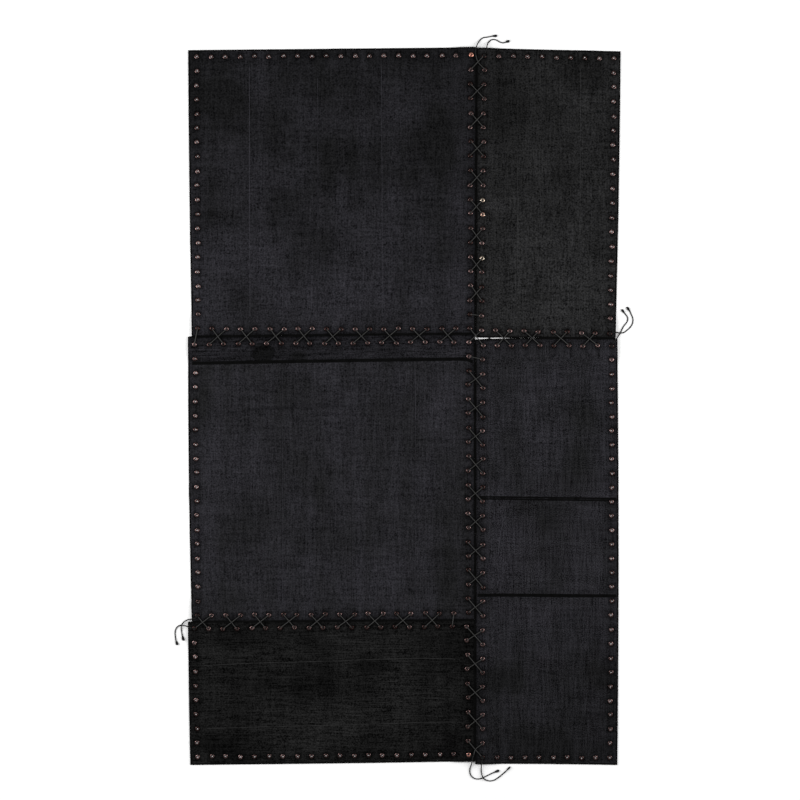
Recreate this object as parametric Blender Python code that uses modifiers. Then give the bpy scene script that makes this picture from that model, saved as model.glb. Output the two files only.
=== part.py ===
"""Patchwork rug: five cloth panels with eyelets, laced together with round cord.

Metres, +Z up. The rug lies on its underside at Z = 0, its long side along Y, and the origin
is the middle of its outline on the floor. Each panel is a slightly skewed rectangle of thick
hand-woven cloth. Facing rows of eyelets are laced criss-cross, over and under by turns, so
the cloth rises beside every laced seam to let the cord pass beneath it.
"""

import math

import bmesh
import bpy
from mathutils import Matrix, Vector

MM = 0.001

CLOTH_THICK = 3.0 * MM
CORD_RADIUS = 2.1 * MM
PIECE_GAP = 0.3 * MM
# Two cords cross beneath a laced edge, one on the other, and never touch floor or cloth.
SEAM_LIFT = 4 * CORD_RADIUS + 4 * PIECE_GAP
SEAM_TOP = SEAM_LIFT + CLOTH_THICK
FLAT_BESIDE_SEAM = 50 * MM
SLOPE_END = 122 * MM
EDGE_STRIP = 61 * MM
HALF_JOINT = 0.6 * PIECE_GAP
GRID_STEPS = 5
CLOSEST_GRID_LINES = 12 * MM

EMPTY_HOLE_RADIUS = 5.3 * MM
EMPTY_HOLE_SIDES = 6
LACED_HOLE_SIDE = 8.0 * MM
RINGED_HOLE_RADIUS = 7.4 * MM
PUNCH_DEPTH = 60 * MM

RING_BORE = 5.0 * MM
RING_BARREL = 6.0 * MM
RING_FLANGE = 10.0 * MM
RING_CROWN = 8.6 * MM
RING_FLANGE_RISE = 1.3 * MM
RING_SIDES = 8
RING_WELD = 0.1 * MM

STOP_KNOT_WIDE = 6.3 * MM
STOP_KNOT_HIGH = 4.2 * MM
# The cord climbs a little onto the knot over its last eyelet.
STOP_KNOT_CLIMB = 1.2 * MM
END_KNOT_HIGH = 4.2 * MM
# Share of the end knot's length, and of its half width there.
END_KNOT_PROFILE = ((0.3, 0.62), (0.68, 1.0), (1.0, 0.45))
TAIL_SPACING = 12.5 * MM
CURVE_STEPS = 24

OVER_Z = SEAM_TOP + CORD_RADIUS + PIECE_GAP
UNDER_Z = SEAM_LIFT - CORD_RADIUS - PIECE_GAP
CROSSING_RISE = 2 * CORD_RADIUS + 2 * PIECE_GAP

# Panel corners and corner eyelets run top left, top right, bottom right, bottom left, in
# millimetres. A bow is how far the middle of a side stands out, also in millimetres.
PANELS = {
    "upper_left": {
        "corners": ((-922, 1518), (307, 1530), (301, 311), (-906, 298)),
        "eyelets": ((-886, 1491), (283, 1495), (280, 330), (-879, 330)),
        "columns": 20,
        "rows": 20,
        "bows": {"left": 2.3},
        "laced": ("right", "bottom"),
        "unlaced_corners": ("top_right",),
        "fields": (("field", 0.0, 1.0),),
    },
    "upper_right": {
        "corners": ((309, 1527), (922, 1513), (900, 289), (304, 294)),
        "eyelets": ((341, 1495), (894, 1484), (875, 311), (328, 324)),
        "columns": 10,
        "rows": 20,
        "bows": {"right": 3.2},
        "laced": ("left", "bottom"),
        "unlaced_corners": (),
        "fields": (("field", 0.0, 1.0),),
    },
    "middle_left": {
        "corners": ((-922, 295), (299, 308), (300, -909), (-906, -917)),
        "eyelets": ((-892, 264), (273, 273), (272, -881), (-881, -893)),
        "columns": 20,
        "rows": 20,
        "bows": {"left": 4.9},
        "laced": ("top", "right", "bottom"),
        "unlaced_corners": (),
        "fields": (("band", 0.0, 0.087), ("field", 0.087, 1.0)),
    },
    "lower_left": {
        "corners": ((-922, -920), (300, -911), (300, -1514), (-913, -1530)),
        "eyelets": ((-896, -949), (266, -938), (272, -1485), (-882, -1496)),
        "columns": 20,
        "rows": 10,
        "bows": {"left": 1.3, "bottom": 1.3},
        "laced": ("top", "right"),
        "unlaced_corners": ("bottom_right",),
        "fields": (("field", 0.0, 1.0),),
    },
    "lower_right": {
        "corners": ((303, 283), (908, 287), (908, -1530), (303, -1525)),
        "eyelets": ((334, 258), (882, 258), (876, -1499), (334, -1498)),
        "columns": 10,
        "rows": 30,
        "bows": {"right": 5.5, "top": 4.6, "bottom": -1.7},
        "laced": ("top", "left"),
        "unlaced_corners": (),
        "fields": (
            ("field_upper", 0.0, 0.374),
            ("field_middle", 0.374, 0.602),
            ("field_lower", 0.602, 1.0),
        ),
    },
}

# Empty eyelets that carry a ring of their own here: panel, row, column, counted from 0.
RINGED_EYELETS = (
    ("upper_left", 0, 0),
    ("upper_left", 0, 10),
    ("upper_left", 10, 0),
    ("upper_right", 0, 9),
    ("upper_right", 10, 9),
    ("middle_left", 10, 0),
    ("lower_left", 5, 0),
    ("lower_left", 9, 0),
    ("lower_left", 9, 10),
    ("lower_right", 29, 9),
    ("lower_right", 10, 9),
    ("lower_right", 20, 9),
)

# Free cord ends, x, y and z of the cord's middle line in millimetres, from where it leaves
# the lacing, over the cloth's edge and down to the floor; then the knot's far tip and width.
TAILS = {
    "top_1": {
        "route": (
            (304, 1496, 15.6), (303, 1510, 15.6), (307, 1531, 15.4), (314, 1548, 7.4),
            (324, 1562, 2.5), (336, 1571, 2.4), (355, 1574, 2.4), (376, 1577.5, 4.4),
        ),
        "tip": (395, 1579.5),
        "knot_width": 11.5,
    },
    "top_2": {
        "route": (
            (343, 1502, 16.6), (348, 1513, 15.7), (351, 1528, 15.4), (353.5, 1541, 9.0),
            (360, 1553, 2.8), (371, 1562, 2.4), (382, 1563.5, 2.4), (396, 1559.5, 2.4),
            (409, 1552, 2.4), (422, 1549, 2.6), (432, 1551.5, 4.4),
        ),
        "tip": (448, 1558),
        "knot_width": 12,
    },
    "right_1": {
        "route": (
            (882.5, 312, 16.6), (893, 314, 15.7), (903, 314.5, 15.4), (913, 312.8, 11.8),
            (922, 311.5, 8.2), (934, 313, 3.8), (946, 321, 2.4), (963, 336, 2.4),
            (973, 353, 2.4), (975, 370, 2.4), (970, 386, 2.6), (961, 406, 4.4),
        ),
        "tip": (948.5, 423),
        "knot_width": 11.5,
    },
    "right_2": {
        "route": (
            (887, 263.6, 16.6), (895, 275, 15.7), (904, 288, 15.4), (910, 296, 11.2),
            (916, 304, 5.8), (922.5, 314, 2.6), (928, 327, 2.4), (936, 342, 2.4),
            (948, 357, 2.4), (953, 372, 2.4), (948.5, 385, 2.6), (938, 397.5, 4.4),
        ),
        "tip": (926, 412.5),
        "knot_width": 11,
    },
    "left_1": {
        "route": (
            (-885, -899, 16.6), (-891, -903.5, 15.7), (-899, -905, 15.6), (-909, -906.6, 15.4),
            (-923, -910, 11.0), (-938, -918.5, 8.0), (-948, -930, 7.9), (-951, -941, 6.9),
            (-951, -955, 3.0), (-949, -968, 2.6), (-947, -981, 4.4),
        ),
        "tip": (-941, -1000),
        "knot_width": 12,
    },
    "left_2": {
        "route": (
            (-902.6, -946, 16.6), (-911, -943, 15.7), (-924, -938.6, 15.3), (-934, -935.8, 9.4),
            (-943, -934.6, 3.6), (-951, -934.4, 2.4), (-960, -936, 2.4), (-969, -942, 2.4),
            (-976, -954, 2.4), (-978, -970, 2.4), (-976.5, -986, 2.6), (-974, -1001, 4.4),
        ),
        "tip": (-967, -1019),
        "knot_width": 12,
    },
    "bottom_1": {
        "route": (
            (295, -1486, 15.5), (291.5, -1497, 15.5), (289, -1507, 15.6), (287, -1518, 15.3),
            (284.5, -1530, 9.6), (281, -1541, 4.5), (279, -1555, 2.5), (281.5, -1570, 2.4),
            (290, -1582, 2.4), (303, -1589, 2.4), (317, -1590, 2.4), (331, -1586.5, 2.4),
            (347, -1579, 2.4), (368, -1568.5, 2.6), (386, -1560, 4.4),
        ),
        "tip": (404.5, -1553),
        "knot_width": 11.5,
    },
    "bottom_2": {
        "route": (
            (332, -1505.2, 16.6), (329.5, -1515, 15.7), (328, -1528, 15.3), (327.5, -1540, 9.4),
            (327.5, -1551, 4.8), (328.5, -1562, 4.8), (331, -1574, 6.4), (335.5, -1584.5, 7.4),
            (343, -1591.5, 6.4), (354, -1596.5, 3.4), (366, -1598.5, 2.4), (384, -1594.5, 2.4),
            (403, -1582.5, 2.4), (421, -1567.5, 2.6), (434, -1556, 4.2),
        ),
        "tip": (452, -1537),
        "knot_width": 7.5,
    },
}

# The lacing: the facing eyelet rows, the pair where the cord's middle lies as a straight
# bar, the pair where it ends, and how each strand ends there.
LACES = {
    "upper_seam": {"bar": 18, "last": 0, "ends": ("beside", "knot")},
    "lower_seam": {"bar": 1, "last": 29, "ends": ("beside", "knot")},
    "cross_seam": {"bar": 0, "last": 29, "ends": ("knot", "knot")},
    "left_seam": {"bar": 18, "last": 0, "ends": ("knot", "knot")},
}
# Where the two strands that pass beside an empty eyelet leave the lacing, in millimetres.
BESIDE_EYELET = {"upper_seam": (304, 1495), "lower_seam": (295, -1484.8)}

CLOTH_COLOUR = (0.016, 0.016, 0.019)
DARK_CLOTH_COLOUR = (0.010, 0.010, 0.010)
CORD_COLOUR = (0.040, 0.040, 0.038)
KNOT_COLOUR = (0.006, 0.006, 0.006)
COPPER_COLOUR = (0.42, 0.24, 0.19)


def clear_scene():
    for obj in list(bpy.data.objects):
        bpy.data.objects.remove(obj)


def make_collection(name, helper=False):
    collection = bpy.data.collections.new(name)
    collection.hide_render = helper
    bpy.context.scene.collection.children.link(collection)
    return collection


def make_material(name, colour, roughness, metallic=0.0):
    material = bpy.data.materials.new(name)
    material.use_nodes = True
    shader = material.node_tree.nodes["Principled BSDF"]
    shader.inputs["Base Color"].default_value = (*colour, 1.0)
    shader.inputs["Roughness"].default_value = roughness
    shader.inputs["Metallic"].default_value = metallic
    return material


def object_from_bmesh(name, bm, collection, material=None):
    mesh = bpy.data.meshes.new(name)
    bm.to_mesh(mesh)
    bm.free()
    obj = bpy.data.objects.new(name, mesh)
    collection.objects.link(obj)
    if material:
        mesh.materials.append(material)
    return obj


def between(a, b, share):
    return a + (b - a) * share


def hump(share):
    """1 in the middle of a side and 0 at its ends."""
    return 4 * share * (1 - share)


class Panel:
    """One laced panel: s runs 0 to 1 from left to right, t from the top edge to the bottom."""

    def __init__(self, name, spec):
        self.name = name
        self.corners = [Vector(corner) * MM for corner in spec["corners"]]
        self.eyelet_corners = [Vector(corner) * MM for corner in spec["eyelets"]]
        self.columns = spec["columns"]
        self.rows = spec["rows"]
        self.bows = {side: bow * MM for side, bow in spec["bows"].items()}
        self.laced = spec["laced"]
        self.unlaced_corners = spec["unlaced_corners"]
        self.fields = spec["fields"]
        top_left, top_right, bottom_right, bottom_left = self.corners
        self.width = ((top_right - top_left).length + (bottom_right - bottom_left).length) / 2
        self.height = ((bottom_left - top_left).length + (bottom_right - top_right).length) / 2

    def place(self, s, t):
        top_left, top_right, bottom_right, bottom_left = self.corners
        point = between(between(top_left, top_right, s), between(bottom_left, bottom_right, s), t)
        across = self.bows.get("right", 0.0) * s - self.bows.get("left", 0.0) * (1 - s)
        along = self.bows.get("top", 0.0) * (1 - t) - self.bows.get("bottom", 0.0) * t
        return point + Vector((across * hump(t), along * hump(s)))

    def rise(self, s, t):
        """How high the cloth's underside stands: full beside a laced seam, then sloping down."""
        away = {
            "left": s * self.width,
            "right": (1 - s) * self.width,
            "top": t * self.height,
            "bottom": (1 - t) * self.height,
        }
        near = min(away[side] for side in self.laced)
        share = (SLOPE_END - near) / (SLOPE_END - FLAT_BESIDE_SEAM)
        share = min(max(share, 0.0), 1.0)
        return SEAM_LIFT * share * share * (3 - 2 * share)

    def eyelet(self, row, column):
        top_left, top_right, bottom_right, bottom_left = self.eyelet_corners
        s = column / (self.columns - 1)
        t = row / (self.rows - 1)
        point = between(between(top_left, top_right, s), between(bottom_left, bottom_right, s), t)
        bowed = self.bows.get("right", 0.0) * hump(t) * s
        return point + Vector((bowed, 0.0))

    def border(self):
        """Row and column of every eyelet, once round the panel."""
        return [
            (row, column)
            for row in range(self.rows)
            for column in range(self.columns)
            if row in (0, self.rows - 1) or column in (0, self.columns - 1)
        ]

    def is_laced(self, row, column):
        sides = []
        if row == 0:
            sides.append("top")
        if row == self.rows - 1:
            sides.append("bottom")
        if column == 0:
            sides.append("left")
        if column == self.columns - 1:
            sides.append("right")
        if "_".join(sides) in self.unlaced_corners:
            return False
        return any(side in self.laced for side in sides)

    def stops(self, low, high, size, near_side, far_side):
        """Grid lines from low to high, closer together on the slope beside a laced side."""
        lines = {low, high}
        lines |= {step / GRID_STEPS for step in range(1, GRID_STEPS)}
        slope = (FLAT_BESIDE_SEAM, (FLAT_BESIDE_SEAM + SLOPE_END) / 2, SLOPE_END)
        if near_side in self.laced:
            lines |= {distance / size for distance in slope}
        if far_side in self.laced:
            lines |= {1 - distance / size for distance in slope}
        closest = CLOSEST_GRID_LINES / size
        kept = [low]
        for line in sorted(lines):
            if line - kept[-1] > closest and high - line > closest:
                kept.append(line)
        return kept + [high]

    def pieces(self):
        """Name and s, t range of each piece of cloth: edge strips with empty eyelets, fields."""
        s_low = 0.0 if "left" in self.laced else EDGE_STRIP / self.width
        s_high = 1.0 if "right" in self.laced else 1 - EDGE_STRIP / self.width
        t_low = 0.0 if "top" in self.laced else EDGE_STRIP / self.height
        t_high = 1.0 if "bottom" in self.laced else 1 - EDGE_STRIP / self.height
        found = []
        if t_low > 0:
            found.append(("top_edge", 0.0, 1.0, 0.0, t_low))
        if t_high < 1:
            found.append(("bottom_edge", 0.0, 1.0, t_high, 1.0))
        if s_low > 0:
            found.append(("side_edge", 0.0, s_low, t_low, t_high))
        if s_high < 1:
            found.append(("side_edge", s_high, 1.0, t_low, t_high))
        for name, t_from, t_to in self.fields:
            found.append((name, s_low, s_high, max(t_from, t_low), min(t_to, t_high)))
        return found


def parted(low, high, size):
    """The range drawn in by half a gap at each joint with the next piece of the panel."""
    half = HALF_JOINT / size
    return (low + half if low > 0 else low), (high - half if high < 1 else high)


def make_cloth(panel, name, s_range, t_range, collection, material):
    s_low, s_high = parted(*s_range, panel.width)
    t_low, t_high = parted(*t_range, panel.height)
    s_stops = panel.stops(s_low, s_high, panel.width, "left", "right")
    t_stops = panel.stops(t_low, t_high, panel.height, "top", "bottom")
    s_last = len(s_stops) - 1
    t_last = len(t_stops) - 1
    bm = bmesh.new()
    bmesh.ops.create_grid(bm, x_segments=s_last, y_segments=t_last, size=0.5)
    for vert in bm.verts:
        s = s_stops[round((vert.co.x + 0.5) * s_last)]
        t = t_stops[round((0.5 - vert.co.y) * t_last)]
        vert.co = (*panel.place(s, t), panel.rise(s, t))
    raised = bmesh.ops.extrude_face_region(bm, geom=bm.faces[:], use_keep_orig=True)
    top = [item for item in raised["geom"] if isinstance(item, bmesh.types.BMVert)]
    bmesh.ops.translate(bm, verts=top, vec=(0, 0, CLOTH_THICK))
    bmesh.ops.recalc_face_normals(bm, faces=bm.faces[:])
    return object_from_bmesh(name, bm, collection, material)


def make_punch(panel, collection):
    """Every hole of the panel in one cutter: six-sided if empty, square round the cord."""
    bm = bmesh.new()
    for row, column in panel.border():
        sides, radius, turn = EMPTY_HOLE_SIDES, EMPTY_HOLE_RADIUS, 0.0
        if panel.is_laced(row, column):
            sides, radius, turn = 4, LACED_HOLE_SIDE / math.sqrt(2), math.pi / 4
        if (panel.name, row, column) in RINGED_EYELETS:
            radius = RINGED_HOLE_RADIUS
        x, y = panel.eyelet(row, column)
        place = Matrix.Translation((x, y, 0)) @ Matrix.Rotation(turn, 4, "Z")
        bmesh.ops.create_cone(
            bm, cap_ends=True, segments=sides, radius1=radius, radius2=radius,
            depth=PUNCH_DEPTH, matrix=place,
        )
    punch = object_from_bmesh(f"{panel.name}_punch", bm, collection)
    punch.hide_render = True
    punch.display_type = "WIRE"
    return punch


def cut(obj, cutter):
    modifier = obj.modifiers.new("Holes", "BOOLEAN")
    modifier.operation = "DIFFERENCE"
    modifier.solver = "EXACT"
    modifier.object = cutter


def make_ring(panel, row, column, name, collection, material):
    """Rolled eyelet: a barrel through the cloth and a flange over it, turned about +Z."""
    x, y = panel.eyelet(row, column)
    s = (x - panel.corners[0].x) / panel.width
    t = (panel.corners[0].y - y) / panel.height
    base = panel.rise(s, t) + PIECE_GAP
    flange = base + CLOTH_THICK
    profile = (
        (RING_BORE, flange + RING_FLANGE_RISE),
        (RING_CROWN, flange + RING_FLANGE_RISE),
        (RING_FLANGE, flange),
        (RING_BARREL, flange),
        (RING_BARREL, base),
        (RING_BORE, base),
    )
    mesh = bpy.data.meshes.new(name)
    bm = bmesh.new()
    verts = [bm.verts.new((radius, 0, height)) for radius, height in profile]
    for first, second in zip(verts, verts[1:] + verts[:1]):
        bm.edges.new((first, second))
    bm.to_mesh(mesh)
    bm.free()
    mesh.materials.append(material)
    ring = bpy.data.objects.new(name, mesh)
    ring.location = (x, y, 0)
    collection.objects.link(ring)
    turn = ring.modifiers.new("Turn", "SCREW")
    turn.steps = RING_SIDES
    turn.render_steps = RING_SIDES
    turn.use_merge_vertices = True
    turn.merge_threshold = RING_WELD
    return ring


def make_tube(name, points, sides_setting, collection, material):
    curve = bpy.data.curves.new(name, "CURVE")
    curve.dimensions = "3D"
    curve.bevel_depth = CORD_RADIUS
    curve.bevel_resolution = sides_setting
    curve.use_fill_caps = True
    spline = curve.splines.new("POLY")
    spline.points.add(len(points) - 1)
    for slot, point in zip(spline.points, points):
        slot.co = (*point, 1.0)
    curve.materials.append(material)
    obj = bpy.data.objects.new(name, curve)
    collection.objects.link(obj)
    return obj


def smooth_route(points, spacing):
    """Evenly spaced points on a smooth curve through the given ones."""
    fine = []
    padded = [2 * points[0] - points[1]] + list(points) + [2 * points[-1] - points[-2]]
    for before, start, end, after in zip(padded, padded[1:], padded[2:], padded[3:]):
        for step in range(CURVE_STEPS):
            u = step / CURVE_STEPS
            fine.append(
                0.5 * (
                    2 * start
                    + (end - before) * u
                    + (2 * before - 5 * start + 4 * end - after) * u ** 2
                    + (3 * start - before - 3 * end + after) * u ** 3
                )
            )
    fine.append(points[-1])
    lengths = [0.0]
    for first, second in zip(fine, fine[1:]):
        lengths.append(lengths[-1] + (second - first).length)
    count = max(round(lengths[-1] / spacing), 2)
    route = []
    at = 0
    for index in range(count + 1):
        wanted = lengths[-1] * index / count
        while at < len(fine) - 2 and lengths[at + 1] < wanted:
            at += 1
        share = (wanted - lengths[at]) / (lengths[at + 1] - lengths[at])
        route.append(between(fine[at], fine[at + 1], share))
    return route


def facing_rows(panels):
    """The two rows of eyelets that each lace joins, pair by pair."""
    upper_left = panels["upper_left"]
    upper_right = panels["upper_right"]
    middle_left = panels["middle_left"]
    lower_left = panels["lower_left"]
    lower_right = panels["lower_right"]

    def column_of(panel, column):
        return [panel.eyelet(row, column) for row in range(panel.rows)]

    def row_of(panel, row):
        return [panel.eyelet(row, column) for column in range(panel.columns)]

    return {
        "upper_seam": (column_of(upper_left, 19), column_of(upper_right, 0)),
        "lower_seam": (
            column_of(middle_left, 19) + column_of(lower_left, 19),
            column_of(lower_right, 0),
        ),
        "cross_seam": (
            row_of(upper_left, 19) + row_of(upper_right, 19),
            row_of(middle_left, 0) + row_of(lower_right, 0),
        ),
        "left_seam": (row_of(middle_left, 19), row_of(lower_left, 0)),
    }


def strand_points(rows, name, spec, strand):
    """One strand from the bar to its end: under, up, over and down, changing sides each time."""
    step = 1 if spec["last"] > spec["bar"] else -1
    pairs = list(range(spec["bar"], spec["last"] + step, step))
    side = strand
    x, y = rows[side][pairs[0]]
    points = [Vector((x, y, OVER_Z)), Vector((x, y, UNDER_Z))]
    for order, pair in enumerate(pairs[1:]):
        under = order % 2 == 0
        before = rows[side][pairs[order]]
        side = 1 - side
        here = rows[side][pair]
        last = pair == pairs[-1]
        middle = between(before, here, 0.5)
        if under:
            if strand == 0:
                points.append(Vector((*middle, UNDER_Z - CROSSING_RISE)))
            points.append(Vector((*here, UNDER_Z)))
            top = SEAM_TOP if last else OVER_Z
            points.append(Vector((*here, top)))
            continue
        if strand == 1:
            points.append(Vector((*middle, OVER_Z + CROSSING_RISE)))
        if not last:
            points.append(Vector((*here, OVER_Z)))
            points.append(Vector((*here, UNDER_Z)))
        elif spec["ends"][side] == "knot":
            reach = (here - before).normalized() * (STOP_KNOT_WIDE + PIECE_GAP)
            points.append(Vector((*(here - reach), OVER_Z + STOP_KNOT_CLIMB)))
        else:
            points.append(Vector((*(Vector(BESIDE_EYELET[name]) * MM), OVER_Z)))
    return points


def make_lace(name, rows, spec, collection, material):
    first = strand_points(rows, name, spec, 0)
    second = strand_points(rows, name, spec, 1)
    points = list(reversed(first)) + second
    return make_tube(f"lace_{name}", points, 0, collection, material)


def make_stop_knot(name, place, collection, material):
    bm = bmesh.new()
    bmesh.ops.create_uvsphere(bm, u_segments=8, v_segments=5, radius=1.0)
    bmesh.ops.scale(bm, verts=bm.verts[:], vec=(STOP_KNOT_WIDE, STOP_KNOT_WIDE, STOP_KNOT_HIGH))
    obj = object_from_bmesh(f"stop_knot_{name}", bm, collection, material)
    obj.location = (*place, SEAM_TOP + PIECE_GAP + STOP_KNOT_HIGH)
    return obj


def make_end_knot(name, start, spec, collection, material):
    """Tight knot with its short flared tail: a kite in plan, lying on the floor."""
    tip = Vector((*spec["tip"], 0)) * MM
    half_width = spec["knot_width"] / 2 * MM
    along = tip - Vector((start.x, start.y, 0))
    length = along.length - 2 * PIECE_GAP
    bm = bmesh.new()
    bmesh.ops.create_circle(bm, segments=8, radius=CORD_RADIUS, cap_ends=True)
    face = bm.faces[:]
    share, radius = 0.0, CORD_RADIUS
    for next_share, widening in END_KNOT_PROFILE:
        next_radius = widening * half_width
        grown = bmesh.ops.extrude_face_region(bm, geom=face, use_keep_orig=True)["geom"]
        if share > 0:
            bmesh.ops.delete(bm, geom=face, context="FACES_ONLY")
        section = [item for item in grown if isinstance(item, bmesh.types.BMVert)]
        face = [item for item in grown if isinstance(item, bmesh.types.BMFace)]
        wider = next_radius / radius
        higher = min(next_radius, END_KNOT_HIGH) / min(radius, END_KNOT_HIGH)
        bmesh.ops.scale(bm, verts=section, vec=(higher, wider, 1))
        bmesh.ops.translate(bm, verts=section, vec=(0, 0, (next_share - share) * length))
        share, radius = next_share, next_radius
    bmesh.ops.recalc_face_normals(bm, faces=bm.faces[:])
    obj = object_from_bmesh(f"tail_knot_{name}", bm, collection, material)
    facing = math.atan2(along.y, along.x)
    turn = Matrix.Rotation(facing, 4, "Z") @ Matrix.Rotation(math.pi / 2, 4, "Y")
    ahead = along.normalized() * 2 * PIECE_GAP
    obj.matrix_world = Matrix.Translation(Vector((start.x, start.y, start.z)) + ahead) @ turn
    return obj


def main():
    clear_scene()
    rug = make_collection("patchwork_rug")
    cutters = make_collection("cutters", helper=True)
    cloth = make_material("charcoal_cloth", CLOTH_COLOUR, 0.9)
    dark_cloth = make_material("black_cloth", DARK_CLOTH_COLOUR, 0.9)
    cord = make_material("grey_cord", CORD_COLOUR, 0.75)
    knot = make_material("black_knot", KNOT_COLOUR, 0.7)
    copper = make_material("old_copper", COPPER_COLOUR, 0.4, metallic=1.0)

    panels = {name: Panel(name, spec) for name, spec in PANELS.items()}
    for panel in panels.values():
        punch = make_punch(panel, cutters)
        for piece, s_low, s_high, t_low, t_high in panel.pieces():
            dark = panel.name == "lower_left" or piece == "band"
            piece_cloth = dark_cloth if dark else cloth
            name = f"{panel.name}_{piece}"
            ranges = (s_low, s_high), (t_low, t_high)
            cut(make_cloth(panel, name, *ranges, rug, piece_cloth), punch)

    for number, (name, row, column) in enumerate(RINGED_EYELETS, start=1):
        make_ring(panels[name], row, column, f"eyelet_{number:02d}", rug, copper)

    rows = facing_rows(panels)
    for name, spec in LACES.items():
        make_lace(name, rows[name], spec, rug, cord)

    knotted = {
        "top": panels["upper_right"].eyelet(0, 0),
        "bottom": panels["lower_right"].eyelet(29, 0),
        "right_1": panels["upper_right"].eyelet(19, 9),
        "right_2": panels["lower_right"].eyelet(0, 9),
        "left_1": panels["middle_left"].eyelet(19, 0),
        "left_2": panels["lower_left"].eyelet(0, 0),
    }
    for name, place in knotted.items():
        make_stop_knot(name, place, rug, knot)

    for name, spec in TAILS.items():
        hand_points = [Vector(point) * MM for point in spec["route"]]
        route = smooth_route(hand_points, TAIL_SPACING)
        make_tube(f"tail_{name}", route, 2, rug, cord)
        make_end_knot(name, route[-1], spec, rug, knot)


main()
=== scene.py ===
"""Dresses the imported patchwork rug: woven cloth, sewn edges, eyelets, laced and free cord."""

import math
import random

import bmesh
import bpy
from bpy.props import FloatProperty, FloatVectorProperty, PointerProperty
from mathutils import Matrix, Vector, noise


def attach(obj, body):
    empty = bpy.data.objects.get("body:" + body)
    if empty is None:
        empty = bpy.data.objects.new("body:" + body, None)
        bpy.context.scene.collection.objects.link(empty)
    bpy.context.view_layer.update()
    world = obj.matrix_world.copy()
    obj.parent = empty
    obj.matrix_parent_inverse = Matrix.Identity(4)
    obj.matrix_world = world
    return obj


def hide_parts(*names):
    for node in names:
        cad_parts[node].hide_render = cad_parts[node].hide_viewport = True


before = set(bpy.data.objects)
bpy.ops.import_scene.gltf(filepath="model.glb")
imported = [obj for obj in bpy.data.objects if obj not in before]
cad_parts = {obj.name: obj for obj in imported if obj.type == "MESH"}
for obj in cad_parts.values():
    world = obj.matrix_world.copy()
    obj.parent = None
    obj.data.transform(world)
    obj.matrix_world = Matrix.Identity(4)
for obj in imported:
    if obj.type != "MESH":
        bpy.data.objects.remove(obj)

bl_info = {
    "name": "Patchwork rug",
    "version": (1, 0, 0),
    "blender": (4, 5, 0),
    "location": "View3D > Sidebar > Rug",
    "description": "Builds the cloth, eyelets and lacing of a laced patchwork rug",
    "category": "Add Mesh",
}

MM = 0.001
UP = Vector((0, 0, 1))
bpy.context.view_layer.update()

# How the laced seams stand, as in the solids: two cords cross beneath the raised cloth.
CLOTH_THICK = 3.0 * MM
CORD_RADIUS = 2.1 * MM
PIECE_GAP = 0.3 * MM
SEAM_LIFT = 4 * CORD_RADIUS + 4 * PIECE_GAP
FLAT_BESIDE_SEAM = 50 * MM
SLOPE_END = 122 * MM
STOP_KNOT_WIDE = 7.6 * MM
STOP_KNOT_HIGH = 4.2 * MM
END_KNOT_HIGH = 4.2 * MM

# Panel corners and corner eyelets run top left, top right, bottom right, bottom left, in
# millimetres. A bow is how far the middle of a side stands out. A length is a piece of cloth
# from one share of the panel's height to another. A tuck is how far in from a side its sewn
# edge is centred, as a share of the edge's half width, where that isn't all of it.
PANELS = {
    "upper_left": {
        "corners": ((-922, 1518), (307, 1530), (301, 311), (-906, 298)),
        "eyelets": ((-886, 1491), (283, 1495), (280, 330), (-879, 330)),
        "columns": 20,
        "rows": 20,
        "bows": {"left": 2.3},
        "laced": ("right", "bottom"),
        "tucks": {"right": 0.65, "bottom": 0.4},
        "lengths": ((1.0, "charcoal_long"),),
        "nodes": ("field", "top_edge", "side_edge"),
    },
    "upper_right": {
        "corners": ((309, 1527), (922, 1513), (900, 289), (304, 294)),
        "eyelets": ((341, 1495), (894, 1484), (875, 311), (328, 324)),
        "columns": 10,
        "rows": 20,
        "bows": {"right": 3.2},
        "laced": ("left", "bottom"),
        "tucks": {"left": 0.65, "bottom": 0.65},
        "lengths": ((1.0, "grey_checked"),),
        "nodes": ("field", "top_edge", "side_edge"),
    },
    "middle_left": {
        "corners": ((-922, 295), (299, 308), (300, -909), (-906, -917)),
        "eyelets": ((-892, 264), (273, 273), (272, -881), (-881, -893)),
        "columns": 20,
        "rows": 20,
        "bows": {"left": 4.9},
        "laced": ("top", "right", "bottom"),
        "tucks": {"top": 0.4, "right": 0.5, "bottom": 0.2},
        "lengths": ((0.087, "black_band"), (1.0, "charcoal_pale")),
        "nodes": ("band", "field", "side_edge"),
    },
    "lower_left": {
        "corners": ((-922, -920), (300, -911), (300, -1514), (-913, -1530)),
        "eyelets": ((-896, -949), (266, -938), (272, -1485), (-882, -1496)),
        "columns": 20,
        "rows": 10,
        "bows": {"left": 1.3, "bottom": 1.3},
        "laced": ("top", "right"),
        "tucks": {"top": 0.2, "right": 0.5},
        "lengths": ((1.0, "black_across"),),
        "nodes": ("field", "side_edge", "bottom_edge"),
    },
    "lower_right": {
        "corners": ((303, 283), (908, 287), (908, -1530), (303, -1525)),
        "eyelets": ((334, 258), (882, 258), (876, -1499), (334, -1498)),
        "columns": 10,
        "rows": 30,
        "bows": {"right": 5.5, "top": 4.6, "bottom": -1.7},
        "laced": ("top", "left"),
        "tucks": {"top": 0.6, "left": 0.5},
        "lengths": (
            (0.374, "charcoal_slub"), (0.602, "charcoal_slub_pale"), (1.0, "charcoal_slub_dark"),
        ),
        "nodes": ("field_upper", "field_middle", "field_lower", "side_edge", "bottom_edge"),
    },
}

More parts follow.
